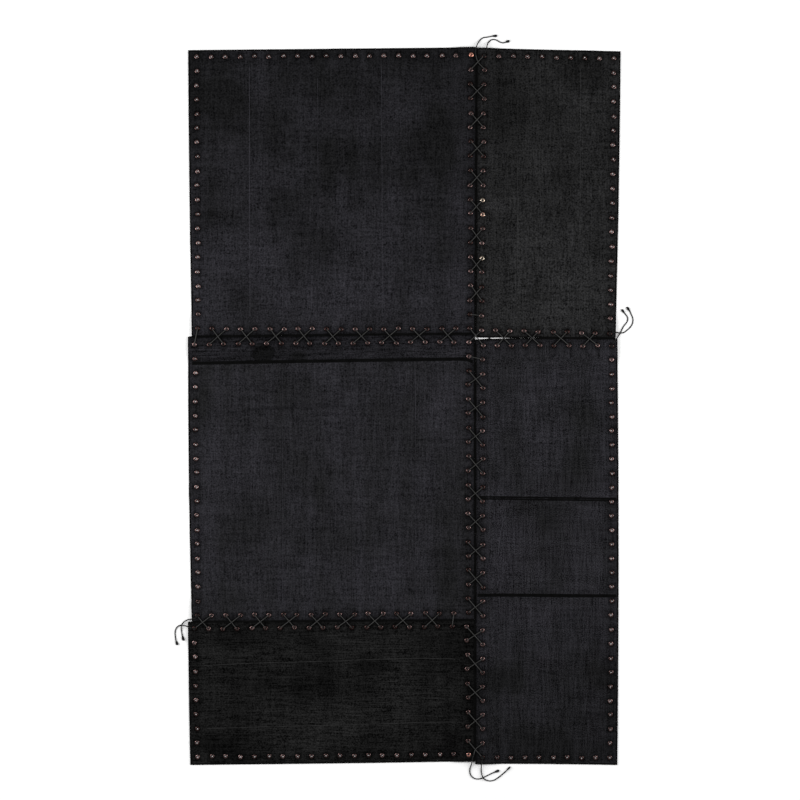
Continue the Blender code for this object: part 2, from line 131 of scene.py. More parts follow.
# Eyelets that are solids too, by panel, row and column, in the order of their numbers.
STATED_EYELETS = {
    "upper_left": ((0, 0), (0, 10), (10, 0)),
    "upper_right": ((0, 9), (10, 9)),
    "middle_left": ((10, 0),),
    "lower_left": ((5, 0), (9, 0), (9, 10)),
    "lower_right": ((29, 9), (10, 9), (20, 9)),
}
# How far a hand-set eyelet may stand off its even row, either way.
HAND_SET = 2.2 * MM
NUDGE_FULL = 0.13
NUDGE_FADE = 0.45

# Rings whose metal is cleaner than the rest, and the six under stopper knots, set darkest as
# painted shade: panel, row, column and how bright, 0 to 1.
BRIGHT_RINGS = {
    # The rings under stopper knots: darkest tone, painted shade under the knot.
    ("upper_right", 0, 0): 0.0,
    ("upper_right", 19, 9): 0.0,
    ("lower_right", 0, 9): 0.0,
    ("lower_right", 29, 0): 0.0,
    ("middle_left", 19, 0): 0.0,
    ("lower_left", 0, 0): 0.0,
    ("upper_left", 0, 19): 0.72,
    ("lower_left", 9, 19): 0.62,
    ("upper_right", 10, 0): 1.0,
    ("upper_right", 11, 0): 0.9,
    ("upper_right", 14, 0): 1.0,
    ("middle_left", 0, 19): 0.5,
}

LACES = {
    "upper_seam": {"bar": 18, "last": 0, "ends": ("beside", "knot")},
    "lower_seam": {"bar": 1, "last": 29, "ends": ("beside", "knot")},
    "cross_seam": {"bar": 0, "last": 29, "ends": ("knot", "knot")},
    "left_seam": {"bar": 18, "last": 0, "ends": ("knot", "knot")},
}
BESIDE_EYELET = {"upper_seam": (304, 1495), "lower_seam": (295, -1484.8)}

# Free cord ends: the solids' route points in millimetres, the knot's tip and its width.
TAILS = {
    "top_1": {
        "route": (
            (304, 1496, 15.6), (303, 1510, 15.6), (307, 1531, 15.4), (314, 1548, 7.4),
            (324, 1562, 2.5), (336, 1571, 2.4), (355, 1574, 2.4), (376, 1577.5, 4.4),
        ),
        "tip": (395, 1579.5),
        "knot_width": 11.5,
    },
    "top_2": {
        "route": (
            (343, 1502, 16.6), (348, 1513, 15.7), (351, 1528, 15.4), (353.5, 1541, 9.0),
            (360, 1553, 2.8), (371, 1562, 2.4), (382, 1563.5, 2.4), (396, 1559.5, 2.4),
            (409, 1552, 2.4), (422, 1549, 2.6), (432, 1551.5, 4.4),
        ),
        "tip": (448, 1558),
        "knot_width": 12,
    },
    "right_1": {
        "route": (
            (882.5, 312, 16.6), (893, 314, 15.7), (903, 314.5, 15.4), (913, 312.8, 11.8),
            (922, 311.5, 8.2), (934, 313, 3.8), (946, 321, 2.4), (963, 336, 2.4),
            (973, 353, 2.4), (975, 370, 2.4), (970, 386, 2.6), (961, 406, 4.4),
        ),
        "tip": (948.5, 423),
        "knot_width": 11.5,
    },
    "right_2": {
        "route": (
            (887, 263.6, 16.6), (895, 275, 15.7), (904, 288, 15.4), (910, 296, 11.2),
            (916, 304, 5.8), (922.5, 314, 2.6), (928, 327, 2.4), (936, 342, 2.4),
            (948, 357, 2.4), (953, 372, 2.4), (948.5, 385, 2.6), (938, 397.5, 4.4),
        ),
        "tip": (926, 412.5),
        "knot_width": 11,
    },
    "left_1": {
        "route": (
            (-885, -899, 16.6), (-891, -903.5, 15.7), (-899, -905, 15.6), (-909, -906.6, 15.4),
            (-923, -910, 11.0), (-938, -918.5, 8.0), (-948, -930, 7.9), (-951, -941, 6.9),
            (-951, -955, 3.0), (-949, -968, 2.6), (-947, -981, 4.4),
        ),
        "tip": (-941, -1000),
        "knot_width": 12,
    },
    "left_2": {
        "route": (
            (-902.6, -946, 16.6), (-911, -943, 15.7), (-924, -938.6, 15.3), (-934, -935.8, 9.4),
            (-943, -934.6, 3.6), (-951, -934.4, 2.4), (-960, -936, 2.4), (-969, -942, 2.4),
            (-976, -954, 2.4), (-978, -970, 2.4), (-976.5, -986, 2.6), (-974, -1001, 4.4),
        ),
        "tip": (-967, -1019),
        "knot_width": 12,
    },
    "bottom_1": {
        "route": (
            (295, -1486, 15.5), (291.5, -1497, 15.5), (289, -1507, 15.6), (287, -1518, 15.3),
            (284.5, -1530, 9.6), (281, -1541, 4.5), (279, -1555, 2.5), (281.5, -1570, 2.4),
            (290, -1582, 2.4), (303, -1589, 2.4), (317, -1590, 2.4), (331, -1586.5, 2.4),
            (347, -1579, 2.4), (368, -1568.5, 2.6), (386, -1560, 4.4),
        ),
        "tip": (404.5, -1553),
        "knot_width": 11.5,
    },
    "bottom_2": {
        "route": (
            (332, -1505.2, 16.6), (329.5, -1515, 15.7), (328, -1528, 15.3), (327.5, -1540, 9.4),
            (327.5, -1551, 4.8), (328.5, -1562, 4.8), (331, -1574, 6.4), (335.5, -1584.5, 7.4),
            (343, -1591.5, 6.4), (354, -1596.5, 3.4), (366, -1598.5, 2.4), (384, -1594.5, 2.4),
            (403, -1582.5, 2.4), (421, -1567.5, 2.6), (434, -1556, 4.2),
        ),
        "tip": (452, -1537),
        "knot_width": 7.5,
    },
}

# Where narrow loom strips are joined: half widths of the pale ridge, rubbed pale and painted
# lighter as a highlight, and of the dark line at its left or above it, painted shade in the
# thread's colour, then a line through x, y, all in millimetres.
STRIP_JOINS = {
    "upper_left": (
        (1.1, 0.0, ((-661, 1450), (-660, 900), (-658, 360))),
        (0.7, 0.7, ((-370, 1400), (-369, 900), (-368, 360))),
        (0.8, 0.0, ((-97, 1440), (-95, 900), (-94, 360))),
    ),
    "upper_right": (
        (0.5, 0.5, ((484, 1440), (482, 900), (479, 360))),
        (0.5, 0.0, ((751, 1440), (750, 900), (747, 360))),
    ),
    "middle_left": (
        (0.6, 0.9, ((-522, 160), (-521, -350), (-520, -860))),
        (0.5, 0.8, ((-225, 160), (-224, -350), (-222, -860))),
        (1.1, 0.9, ((45, 160), (46, 40), (46, -60))),
        (0.4, 0.6, ((46, -60), (47, -450), (48, -860))),
    ),
    "lower_left": (
        (1.4, 0.0, ((-856, -1106), (-640, -1096), (-440, -1091), (-19, -1077), (237, -1078))),
        (1.4, 0.0, ((-840, -1375), (-640, -1369), (-440, -1364), (-19, -1352), (237, -1346))),
    ),
    "lower_right": (
        (0.8, 0.0, ((425, -470), (408, -560), (400, -639), (399, -770))),
        (0.6, 0.0, ((732, -622), (733, -700), (732, -790))),
    ),
}

# Where lengths of cloth are sewn end to end: lines through x, y, how far apart their two edges
# lie and half the width of each, in millimetres.
SEWN_SEAMS = {
    "middle_left": ((((-905, 183), (-450, 191), (-19, 198), (240, 200), (292, 189)), 6.5, 4.4),),
    "lower_right": (
        (((312, -390), (500, -393), (700, -396), (904, -398)), 8.5, 4.2),
        (((312, -805), (500, -806), (700, -808), (904, -809)), 6.5, 4.2),
    ),
}

# Soft creases, sunk into the cloth and darkened with painted shade: how strong, 0 to 1, then a
# line through x, y in millimetres.
CREASES = {
    "middle_left": (
        (0.7, ((-752, -29), (-629, -12), (-484, -8), (-296, 5))),
        (0.5, ((-296, 5), (-120, -2), (16, -8))),
        (0.5, ((-700, -330), (-620, -310), (-538, -296))),
    ),
    "upper_left": ((0.35, ((-890, 780), (-640, 776), (-430, 785))),),
}

# Old stitch holes of the lower right panel and worn spots elsewhere: x, y in millimetres.
STITCH_MARKS = {
    "lower_right": (
        (382, 163), (432, 163), (485, 162), (517, 163),
        (530, -157), (583, -156), (626, -158), (683, -157), (751, -158), (824, -157),
        (406, -422), (560, -423),
        (543, -1352), (611, -1353), (674, -1354), (726, -1352), (775, -1354),
    ),
    "middle_left": ((-339, 68), (-475, 11), (-377, -1020 + 140)),
    "upper_left": ((-242, 1270), (-509, 1120)),
    "lower_left": ((148, -975), (-377, -1019)),
}


class ClothSettings(bpy.types.PropertyGroup):
    """Sizes and colours of the woven panels and their sewn edges."""

    swell: FloatProperty(
        name="Swell", description="How far the cloth lifts off the floor in soft waves",
        default=1.6 * MM, unit="LENGTH",
    )
    edge_width: FloatProperty(
        name="Edge width", description="Width of the oversewn edge",
        default=7.0 * MM, unit="LENGTH",
    )
    charcoal: FloatVectorProperty(
        name="Charcoal", description="Colour of the bluish cloth where it is pale",
        subtype="COLOR", default=(0.0194, 0.0188, 0.0225),
    )
    grey: FloatVectorProperty(
        name="Grey", description="Colour of the neutral cloth where it is pale",
        subtype="COLOR", default=(0.0207, 0.0207, 0.0214),
    )
    black: FloatVectorProperty(
        name="Black", description="Colour of the darkest cloth where it is pale",
        subtype="COLOR", default=(0.0110, 0.0110, 0.0110),
    )
    thread: FloatVectorProperty(
        name="Thread", description="Colour of the sewing on edges and seams", subtype="COLOR",
        default=(0.0022, 0.0022, 0.0022),
    )


class EyeletSettings(bpy.types.PropertyGroup):
    """Sizes and colours of the rolled eyelets."""

    flange: FloatProperty(
        name="Flange radius", description="Outside of the rolled flange",
        default=10.8 * MM, unit="LENGTH",
    )
    bore: FloatProperty(
        name="Bore radius", description="Inside of the barrel", default=3.5 * MM, unit="LENGTH",
    )
    tarnish: FloatVectorProperty(
        name="Tarnish", description="Colour of the dull metal", subtype="COLOR",
        default=(0.022, 0.012, 0.011),
    )
    copper: FloatVectorProperty(
        name="Copper", description="Colour of the worn metal", subtype="COLOR",
        default=(0.146, 0.099, 0.095),
    )
    bright: FloatVectorProperty(
        name="Bright copper", description="Colour of the rubbed metal", subtype="COLOR",
        default=(0.60, 0.26, 0.19),
    )
    brass: FloatVectorProperty(
        name="Brass", description="Colour of the cleanest metal", subtype="COLOR",
        default=(0.36, 0.32, 0.26),
    )


class CordSettings(bpy.types.PropertyGroup):
    """Size and colours of the lacing cord and its knots."""

    diameter: FloatProperty(
        name="Diameter", description="Thickness of the cord where it is laced tight",
        default=2 * CORD_RADIUS, unit="LENGTH",
    )
    end_diameter: FloatProperty(
        name="End diameter", description="Thickness of the cord where it lies slack",
        default=4.8 * MM, unit="LENGTH",
    )
    waxed: FloatVectorProperty(
        name="Waxed cord", description="Colour of the cord", subtype="COLOR",
        default=(0.025, 0.025, 0.024),
    )
    end: FloatVectorProperty(
        name="Cord end", description="Colour of the free cord ends", subtype="COLOR",
        default=(0.0045, 0.0045, 0.0045),
    )
    knot: FloatVectorProperty(
        name="Knot", description="Colour of the knots", subtype="COLOR",
        default=(0.0035, 0.0035, 0.0035),
    )


class StageSettings(bpy.types.PropertyGroup):
    """The camera's frame and the floor."""

    frame_width: FloatProperty(
        name="Frame width", description="What the camera sees across the floor",
        default=3.413, unit="LENGTH",
    )
    centre: FloatVectorProperty(
        name="Centre", description="Where the camera looks", subtype="TRANSLATION", size=2,
        default=(-0.0186, 0.0262),
    )
    floor_colour: FloatVectorProperty(
        name="Floor", description="Colour of the floor", subtype="COLOR",
        default=(0.97, 0.97, 0.97),
    )


class Wire:
    """A shader socket's value, which takes part in sums and products."""

    def __init__(self, book, socket):
        self.book = book
        self.socket = socket

    def _math(self, operation, first, second):
        return self.book.node("ShaderNodeMath", {"operation": operation}, {0: first, 1: second})

    def __add__(self, other):
        return self._math("ADD", self, other)

    def __sub__(self, other):
        return self._math("SUBTRACT", self, other)

    def __mul__(self, other):
        return self._math("MULTIPLY", self, other)

    def __rsub__(self, other):
        return self._math("SUBTRACT", other, self)

    def sine(self):
        return self.book.node("ShaderNodeMath", {"operation": "SINE"}, {0: self})

    def at_least(self, low):
        return self._math("MAXIMUM", self, low)

    def clamped_below(self, high):
        """How far this is below a value, from 0 to 1."""
        settings = {"operation": "SUBTRACT", "use_clamp": True}
        return self.book.node("ShaderNodeMath", settings, {0: high, 1: self})

    __radd__ = __add__
    __rmul__ = __mul__


class MaterialBook:
    """One material and the nodes that feed its Principled shader."""

    def __init__(self, name):
        self.material = bpy.data.materials.new(name)
        self.material.use_nodes = True
        self.nodes = self.material.node_tree.nodes
        self.links = self.material.node_tree.links
        self.shader = self.nodes["Principled BSDF"]

    def node(self, kind, settings=None, values=None, out=0):
        made = self.nodes.new(kind)
        for name, value in (settings or {}).items():
            if name == "ramp":
                self._set_ramp(made, value)
            else:
                setattr(made, name, value)
        for key, value in (values or {}).items():
            self.put(made.inputs[key], value)
        return Wire(self, made.outputs[out])

    def _set_ramp(self, made, stops):
        elements = made.color_ramp.elements
        while len(elements) < len(stops):
            elements.new(0.5)
        for element, (position, colour) in zip(elements, stops):
            element.position = position
            element.color = (*colour, 1.0)

    def put(self, socket, value):
        if isinstance(value, Wire):
            self.links.new(value.socket, socket)
        elif hasattr(value, "__len__") and socket.type == "RGBA":
            socket.default_value = (*value, 1.0)
        else:
            socket.default_value = value

    def finish(self, **values):
        for name, value in values.items():
            self.put(self.shader.inputs[name.replace("_", " ")], value)
        return self.material

    def place(self, shift=(0, 0, 0), stretch=(1, 1, 1)):
        """Object coordinates, shifted by metres and then multiplied."""
        spot = self.node("ShaderNodeTexCoord", out="Object")
        shifted = self.node(
            "ShaderNodeVectorMath", {"operation": "ADD"}, {0: spot, 1: shift},
        )
        return self.node(
            "ShaderNodeVectorMath", {"operation": "MULTIPLY"}, {0: shifted, 1: stretch},
        )

    def across_and_along(self, where):
        parts = self.nodes.new("ShaderNodeSeparateXYZ")
        self.put(parts.inputs[0], where)
        return Wire(self, parts.outputs["X"]), Wire(self, parts.outputs["Y"])

    def mixed(self, share, first, second):
        """From the first colour at 0 to the second at 1."""
        settings = {"data_type": "RGBA", "clamp_factor": True}
        return self.node("ShaderNodeMix", settings, {0: share, 6: first, 7: second}, out=2)

    def cloud(self, where, detail=1.0, scale=1.0):
        """Noise from -1 to 1, mostly within half of that."""
        values = {"Vector": where, "Scale": scale, "Detail": detail}
        return self.node("ShaderNodeTexNoise", None, values) * 2 - 1

    def tinted(self, colour, tone):
        return self.node(
            "ShaderNodeVectorMath", {"operation": "SCALE"}, {0: colour, "Scale": tone},
        )

    def relief(self, height, strength, distance):
        return self.node(
            "ShaderNodeBump", None,
            {"Strength": strength, "Distance": distance, "Height": height},
        )


WARP_PITCH = 2.2 * MM
WEFT_PITCH = 2.6 * MM
SLUB_WIDTH = 5.5 * MM
SLUB_LENGTH = 90 * MM
BAR_WIDTH = 12 * MM
BAR_LENGTH = 130 * MM
BLOTCH_SIZE = 260 * MM

# Each woven length: which colour, how dark its worn parts are, the axis its slubs lie along,
# how strong its streaks, grain and mottling are, the size of its specks in millimetres, how
# pale it is, how fast it pales along Y in shares per metre from a level in metres, and its
# stains: x, y, half width, half height in millimetres and depth, where below zero is paler.
WEAVES = {
    "charcoal_long": {
        "colour": "charcoal", "worn": 0.40, "lie": "Y", "shift": (3.1, 0.4, 0),
        "streak": 0.6, "grain": 1.35, "speck": 6.2, "mottle": 0.8, "paleness": 0.44,
        "fade": (-0.42, 0.85),
        "stains": (
            (-774, 1320, 110, 90, 0.40), (-538, 886, 130, 70, 0.20), (-341, 1083, 190, 120, 0.20),
            (-45, 1339, 160, 100, 0.15), (112, 1142, 160, 170, 0.30), (-45, 965, 140, 80, 0.30),
            (-735, 670, 270, 130, -0.35), (-282, 473, 320, 130, -0.30), (211, 473, 130, 150, -0.25),
            (-735, 473, 70, 90, 0.30), (-6, 473, 45, 60, 0.25),
        ),
    },
    "grey_checked": {
        "colour": "grey", "worn": 0.40, "lie": "Y", "shift": (1.3, 5.1, 0),
        "streak": 0.7, "grain": 1.65, "speck": 6.0, "mottle": 0.8, "paleness": 0.42,
        "fade": (-0.20, 0.9),
        "stains": (
            (762, 1398, 130, 90, 0.40), (447, 1142, 90, 120, 0.15), (683, 965, 180, 80, 0.25),
            (408, 857, 90, 40, -0.35), (644, 640, 260, 150, -0.20),
        ),
    },
    "black_band": {
        "colour": "charcoal", "worn": 0.22, "lie": "X", "shift": (9.2, 3.3, 0),
        "streak": 1.2, "grain": 1.6, "speck": 5.5, "mottle": 0.4, "paleness": 0.47,
        "fade": (0.0, 0.0),
        "stains": (
            (-602, 227, 50, 44, 0.75), (-450, 212, 45, 24, 0.4), (-813, 246, 150, 40, -0.20),
            (230, 237, 60, 40, -0.25),
        ),
    },
    "charcoal_pale": {
        "colour": "charcoal", "worn": 0.52, "lie": "Y", "shift": (7.7, 2.2, 0),
        "streak": 0.65, "grain": 1.3, "speck": 5.6, "mottle": 1.05, "paleness": 0.53,
        "fade": (0.0, 0.0),
        "stains": (
            (-400, -330, 150, 330, 0.30), (-774, -236, 120, 300, -0.25), (-26, 99, 120, 70, -0.30),
            (171, -669, 90, 110, 0.30),
        ),
    },
    "black_across": {
        "colour": "black", "worn": 0.36, "lie": "X", "shift": (4.6, 8.4, 0),
        "streak": 1.25, "grain": 1.9, "speck": 5.5, "mottle": 0.9, "paleness": 0.46,
        "fade": (0.0, 0.0),
        "stains": (
            (-735, -985, 100, 60, 0.40), (-144, -1103, 110, 60, 0.40), (230, -1004, 60, 70, 0.40),
            (-813, -1437, 110, 50, 0.35), (230, -1437, 70, 70, 0.35), (-341, -1370, 210, 150, -0.55),
            (171, -1221, 80, 60, -0.25), (-45, -1359, 12, 110, -0.40),
        ),
    },
    "charcoal_slub": {
        "colour": "charcoal", "worn": 0.50, "lie": "Y", "shift": (5.9, 6.2, 0),
        "streak": 0.85, "grain": 1.9, "speck": 4.4, "mottle": 0.9, "paleness": 0.52,
        "fade": (0.0, 0.0),
        "stains": (
            (447, -138, 60, 90, 0.30), (821, -39, 60, 100, 0.30), (723, -216, 70, 70, 0.25),
            (624, 99, 80, 60, -0.30), (447, 200, 120, 50, 0.25),
        ),
    },
    "charcoal_slub_pale": {
        "colour": "charcoal", "worn": 0.50, "lie": "Y", "shift": (2.8, 9.7, 0),
        "streak": 0.85, "grain": 2.0, "speck": 4.4, "mottle": 0.95, "paleness": 0.50,
        "fade": (0.0, 0.0),
        "stains": ((526, -433, 60, 60, 0.30), (802, -453, 70, 50, -0.40), (585, -709, 45, 80, -0.35)),
    },
    "charcoal_slub_dark": {
        "colour": "charcoal", "worn": 0.42, "lie": "Y", "shift": (8.1, 1.5, 0),
        "streak": 0.85, "grain": 1.95, "speck": 4.4, "mottle": 0.9, "paleness": 0.38,
        "fade": (0.70, -1.15),
        "stains": (
            (644, -965, 100, 170, -0.30), (447, -1162, 90, 80, 0.30), (821, -1103, 60, 120, 0.30),
            (526, -1418, 200, 80, 0.20),
        ),
    },
}


def woven_cloth(name, pale, worn, weave):
    """Slubby hand-woven cloth, from its worn dark colour to its pale one."""
    book = MaterialBook(name)
    shift = weave["shift"]
    thin, long = 1 / SLUB_WIDTH, 1 / SLUB_LENGTH
    low, wide = 1 / BAR_WIDTH, 1 / BAR_LENGTH
    speck = 1 / (weave["speck"] * MM)
    lies_across = weave["lie"] == "X"
    slub_stretch = (long, thin, thin) if lies_across else (thin, long, thin)
    bar_stretch = (low, wide, low) if lies_across else (wide, low, low)
    slubs = book.cloud(book.place(shift, slub_stretch), detail=1.0)
    bars = book.cloud(book.place(shift, bar_stretch), detail=1.0)
    specks = book.cloud(book.place(shift, (speck,) * 3), detail=1.0)
    tone = 1 + slubs * weave["streak"] + bars * 0.4
    tone = (tone + specks * weave["grain"]).at_least(0.1)
    # Painted shade: the shade attribute darkens the tone by eyelets, laces, seams and creases.
    shade = book.node("ShaderNodeAttribute", {"attribute_name": "shade"}, out="Fac")

    x, y = book.across_and_along(book.place())
    blotches = book.cloud(book.place(shift, (1 / BLOTCH_SIZE,) * 3), detail=3.0)
    bands_stretch = (1 / (70 * MM), 1 / (1100 * MM), 1)
    bands = book.cloud(book.place(shift, bands_stretch), detail=1.0)
    paleness = blotches * weave["mottle"] + bands * (0.5 * weave["mottle"]) + weave["paleness"]
    slope, level = weave["fade"]
    paleness = paleness + (y - level) * slope
    for stain_x, stain_y, wide, high, depth in weave["stains"]:
        off_x = (x - stain_x * MM) * (1 / (wide * MM))
        off_y = (y - stain_y * MM) * (1 / (high * MM))
        reach = off_x * off_x + off_y * off_y + blotches * 0.8
        paleness = paleness - reach.clamped_below(1.0) * depth
    colour = book.mixed(paleness, worn, pale)

    across = x * (2 * math.pi / WARP_PITCH) + slubs * 0.8
    along = y * (2 * math.pi / WEFT_PITCH) + bars * 0.8
    threads = across.sine() * along.sine()
    height = threads * 0.4 + slubs * 0.6 + bars * 0.3 + specks * 0.4
    return book.finish(
        # The tone times the painted shade.
        Base_Color=book.tinted(colour, tone * shade),
        Roughness=0.95,
        Specular_IOR_Level=0.02,
        Normal=book.relief(height, 0.5, 0.5 * MM),
    )


def rubbed_and_highlit_join(name, colour):
    """Cloth on a raised join, rubbed pale and painted paler still: painted highlight."""
    book = MaterialBook(name)
    rubbed = book.cloud(book.place(stretch=(1 / (14 * MM),) * 3), detail=2.0)
    return book.finish(
        # 2.2 times the cloth's colour: rubbed wear and a painted highlight on the ridge.
        Base_Color=book.tinted(colour, 2.2 + rubbed * 1.8),
        Roughness=0.9,
        Specular_IOR_Level=0.05,
    )


def sewing_thread(name, colour):
    """Black thread packed close over an edge."""
    book = MaterialBook(name)
    spot = book.place(stretch=(1 / (2.4 * MM),) * 3)
    turns = book.cloud(spot, detail=2.0)
    wear = book.cloud(book.place(stretch=(1 / (30 * MM),) * 3), detail=1.0)
    tone = 1 + turns * 0.6 + wear * 0.5
    return book.finish(
        Base_Color=book.tinted(colour, tone),
        Roughness=0.9,
        Specular_IOR_Level=0.03,
        Normal=book.relief(turns, 0.6, 0.6 * MM),
    )


def old_copper(settings):
    """Rolled metal from tarnished through worn copper to brass, by each ring's own tone."""
    book = MaterialBook("old_copper")
    tone = book.node("ShaderNodeAttribute", {"attribute_name": "tone"}, out="Fac")
    rubbed = book.cloud(book.place(stretch=(1 / (3.5 * MM),) * 3), detail=2.0)
    mixed = tone + rubbed * 0.22
    ramp = (
        (0.0, settings.tarnish), (0.55, settings.copper),
        (0.75, settings.bright), (1.0, settings.brass),
    )
    colour = book.node("ShaderNodeValToRGB", {"ramp": ramp}, {0: mixed})
    return book.finish(
        Base_Color=colour,
        Metallic=1.0,
        Roughness=0.25 - rubbed * 0.12,
        Normal=book.relief(rubbed, 0.25, 0.3 * MM),
    )


PLY_PITCH = 9.0 * MM


def waxed_cord(name, colour, roughness):
    """Twisted cord: slanting plies from the piece's own UV map, in metres along and round."""
    book = MaterialBook(name)
    length, turn = book.across_and_along(book.node("ShaderNodeUVMap", {"uv_map": "along"}))
    plies = (length * (2 * math.pi / PLY_PITCH) + turn * (6 * math.pi)).sine()
    wear = book.cloud(book.place(stretch=(1 / (22 * MM),) * 3), detail=2.0)
    tone = 1 + plies * 0.18 + wear * 0.5
    return book.finish(
        Base_Color=book.tinted(colour, tone),
        Roughness=roughness,
        Specular_IOR_Level=0.25,
        Normal=book.relief(plies, 0.5, 0.4 * MM),
    )


def plain_floor(colour):
    book = MaterialBook("studio_floor")
    haze = book.cloud(book.place(stretch=(0.5, 0.5, 0.5)), detail=1.0)
    return book.finish(Base_Color=book.tinted(colour, 1 + haze * 0.01), Roughness=0.95)


def between(a, b, share):
    return a + (b - a) * share


def line_distance(place, start, end):
    along = end - start
    share = (place - start).dot(along) / max(along.length_squared, 1e-12)
    return (place - start - along * min(max(share, 0.0), 1.0)).length


def hump(share):
    """1 in the middle of a side and 0 at its ends."""
    return 4 * share * (1 - share)


HOLE_HALF = 6.5 * MM
CELLS_BETWEEN_EYELETS = 8
CELLS_IN_HEM = 4
PUCKER = 0.9 * MM
PUCKER_REACH = 35 * MM
EDGE_WANDER = 1.4 * MM
# Painted shade on the cloth, as depth and reach: round eyelets, beside laced seams, at lace
# crossings, along laces and in creases, which also stands for wear round the eyelets.
SHADED_BORDER = 65 * MM
EYELET_SHADE = 1.0
EYELET_SHADE_REACH = 16.5 * MM
SEAM_SHADE = 0.5
SEAM_SHADE_REACH = 14 * MM
CROSSING_SHADE = 0.9
CROSSING_SHADE_REACH = 20 * MM
LACE_SHADE = 0.85
LACE_SHADE_REACH = 10 * MM
CREASE_REACH = 11 * MM
CREASE_SHADE = 0.4


class ClothPanel:
    """One laced panel. Eyelet columns and rows count p and q; past them lies the border."""

    def __init__(self, name):
        spec = PANELS[name]
        self.name = name
        self.corners = [Vector(corner) * MM for corner in spec["corners"]]
        self.eyelet_corners = [Vector(corner) * MM for corner in spec["eyelets"]]
        self.columns = spec["columns"]
        self.rows = spec["rows"]
        self.bows = {side: bow * MM for side, bow in spec["bows"].items()}
        self.laced = spec["laced"]
        self.tucks = spec["tucks"]
        self.lengths = spec["lengths"]
        self.nodes = [f"{name}_{node}" for node in spec["nodes"]]
        top_left, top_right, bottom_right, bottom_left = self.corners
        self.width = ((top_right - top_left).length + (bottom_right - bottom_left).length) / 2
        self.height = ((bottom_left - top_left).length + (bottom_right - top_right).length) / 2
        chance = random.Random(f"eyelets {name}")
        self.nudges = {
            place: Vector((chance.uniform(-HAND_SET, HAND_SET), chance.uniform(-HAND_SET, HAND_SET)))
            for place in self.border()
        }
        for place in STATED_EYELETS[name]:
            self.nudges[place] = Vector((0.0, 0.0))
        self.painted_shade_lines = []
        self.creases = [
            (strength, Vector(start) * MM, Vector(end) * MM)
            for strength, line in CREASES.get(name, ())
            for start, end in zip(line, line[1:])
        ]
        first, second, third, fourth = self.eyelet_corners
        self.s_range = (
            ((first.x - top_left.x) + (fourth.x - bottom_left.x)) / 2 / self.width,
            1 - ((top_right.x - second.x) + (bottom_right.x - third.x)) / 2 / self.width,
        )
        self.t_range = (
            ((top_left.y - first.y) + (top_right.y - second.y)) / 2 / self.height,
            1 - ((fourth.y - bottom_left.y) + (third.y - bottom_right.y)) / 2 / self.height,
        )

    def outline(self, s, t):
        top_left, top_right, bottom_right, bottom_left = self.corners
        point = between(between(top_left, top_right, s), between(bottom_left, bottom_right, s), t)
        across = self.bows.get("right", 0.0) * s - self.bows.get("left", 0.0) * (1 - s)
        along = self.bows.get("top", 0.0) * (1 - t) - self.bows.get("bottom", 0.0) * t
        return point + Vector((across * hump(t), along * hump(s)))

    def nudge(self, p, q):
        """How far the nearest hand-set eyelet pulls a place off the even row."""
        row, column = round(q), round(p)
        away = max(abs(p - column), abs(q - row))
        share = min(max((NUDGE_FADE - away) / (NUDGE_FADE - NUDGE_FULL), 0.0), 1.0)
        return self.nudges.get((row, column), Vector((0.0, 0.0))) * share

    def eyelet(self, row, column):
        top_left, top_right, bottom_right, bottom_left = self.eyelet_corners
        s = column / (self.columns - 1)
        t = row / (self.rows - 1)
        point = between(between(top_left, top_right, s), between(bottom_left, bottom_right, s), t)
        return point + Vector((self.bows.get("right", 0.0) * hump(t) * s, 0.0))

    def spot(self, p, q):
        """Plan position and s, t of a place counted in eyelets."""
        p_in = min(max(p, 0), self.columns - 1)
        q_in = min(max(q, 0), self.rows - 1)
        side_share = abs(p - p_in)
        end_share = abs(q - q_in)
        s_eyelet = between(*self.s_range, p_in / (self.columns - 1))
        t_eyelet = between(*self.t_range, q_in / (self.rows - 1))
        s_side = 0.0 if p < 0 else 1.0
        t_end = 0.0 if q < 0 else 1.0
        inner = between(self.eyelet(q_in, p_in), self.outline(s_side, t_eyelet), side_share)
        outer = between(self.outline(s_eyelet, t_end), self.outline(s_side, t_end), side_share)
        place = between(inner, outer, end_share) + self.nudge(p, q)
        return place, between(s_eyelet, s_side, side_share), between(t_eyelet, t_end, end_share)

    def distances(self, s, t):
        return {
            "left": s * self.width,
            "right": (1 - s) * self.width,
            "top": t * self.height,
            "bottom": (1 - t) * self.height,
        }

    def rise(self, s, t):
        away = self.distances(s, t)
        near = min(away[side] for side in self.laced)
        share = (SLOPE_END - near) / (SLOPE_END - FLAT_BESIDE_SEAM)
        share = min(max(share, 0.0), 1.0)
        return SEAM_LIFT * share * share * (3 - 2 * share)

    def top(self, p, q, swell):
        """A point on the cloth's face."""
        place, s, t = self.spot(p, q)
        x, y = place
        waves = noise.noise((x / 0.30, y / 0.30, 1.7)) + 0.5 * noise.noise((x / 0.11, y / 0.11, 5.1))
        lift = swell * min(max(0.5 + 0.5 * waves, 0.0), 1.0) * (1 - 0.8 * self.crease(place))
        away = self.distances(s, t)
        for side in self.laced:
            along = q if side in ("left", "right") else p
            fade = math.exp(-away[side] / PUCKER_REACH)
            lift += PUCKER * fade * 0.5 * (1 - math.cos(2 * math.pi * along))
        return Vector((x, y, self.rise(s, t) + CLOTH_THICK + lift))

    def crease(self, place):
        """How much of a crease is here, from 0 to 1."""
        found = 0.0
        for strength, start, end in self.creases:
            away = line_distance(place, start, end) / CREASE_REACH
            found = max(found, strength * math.exp(-away * away))
        return found

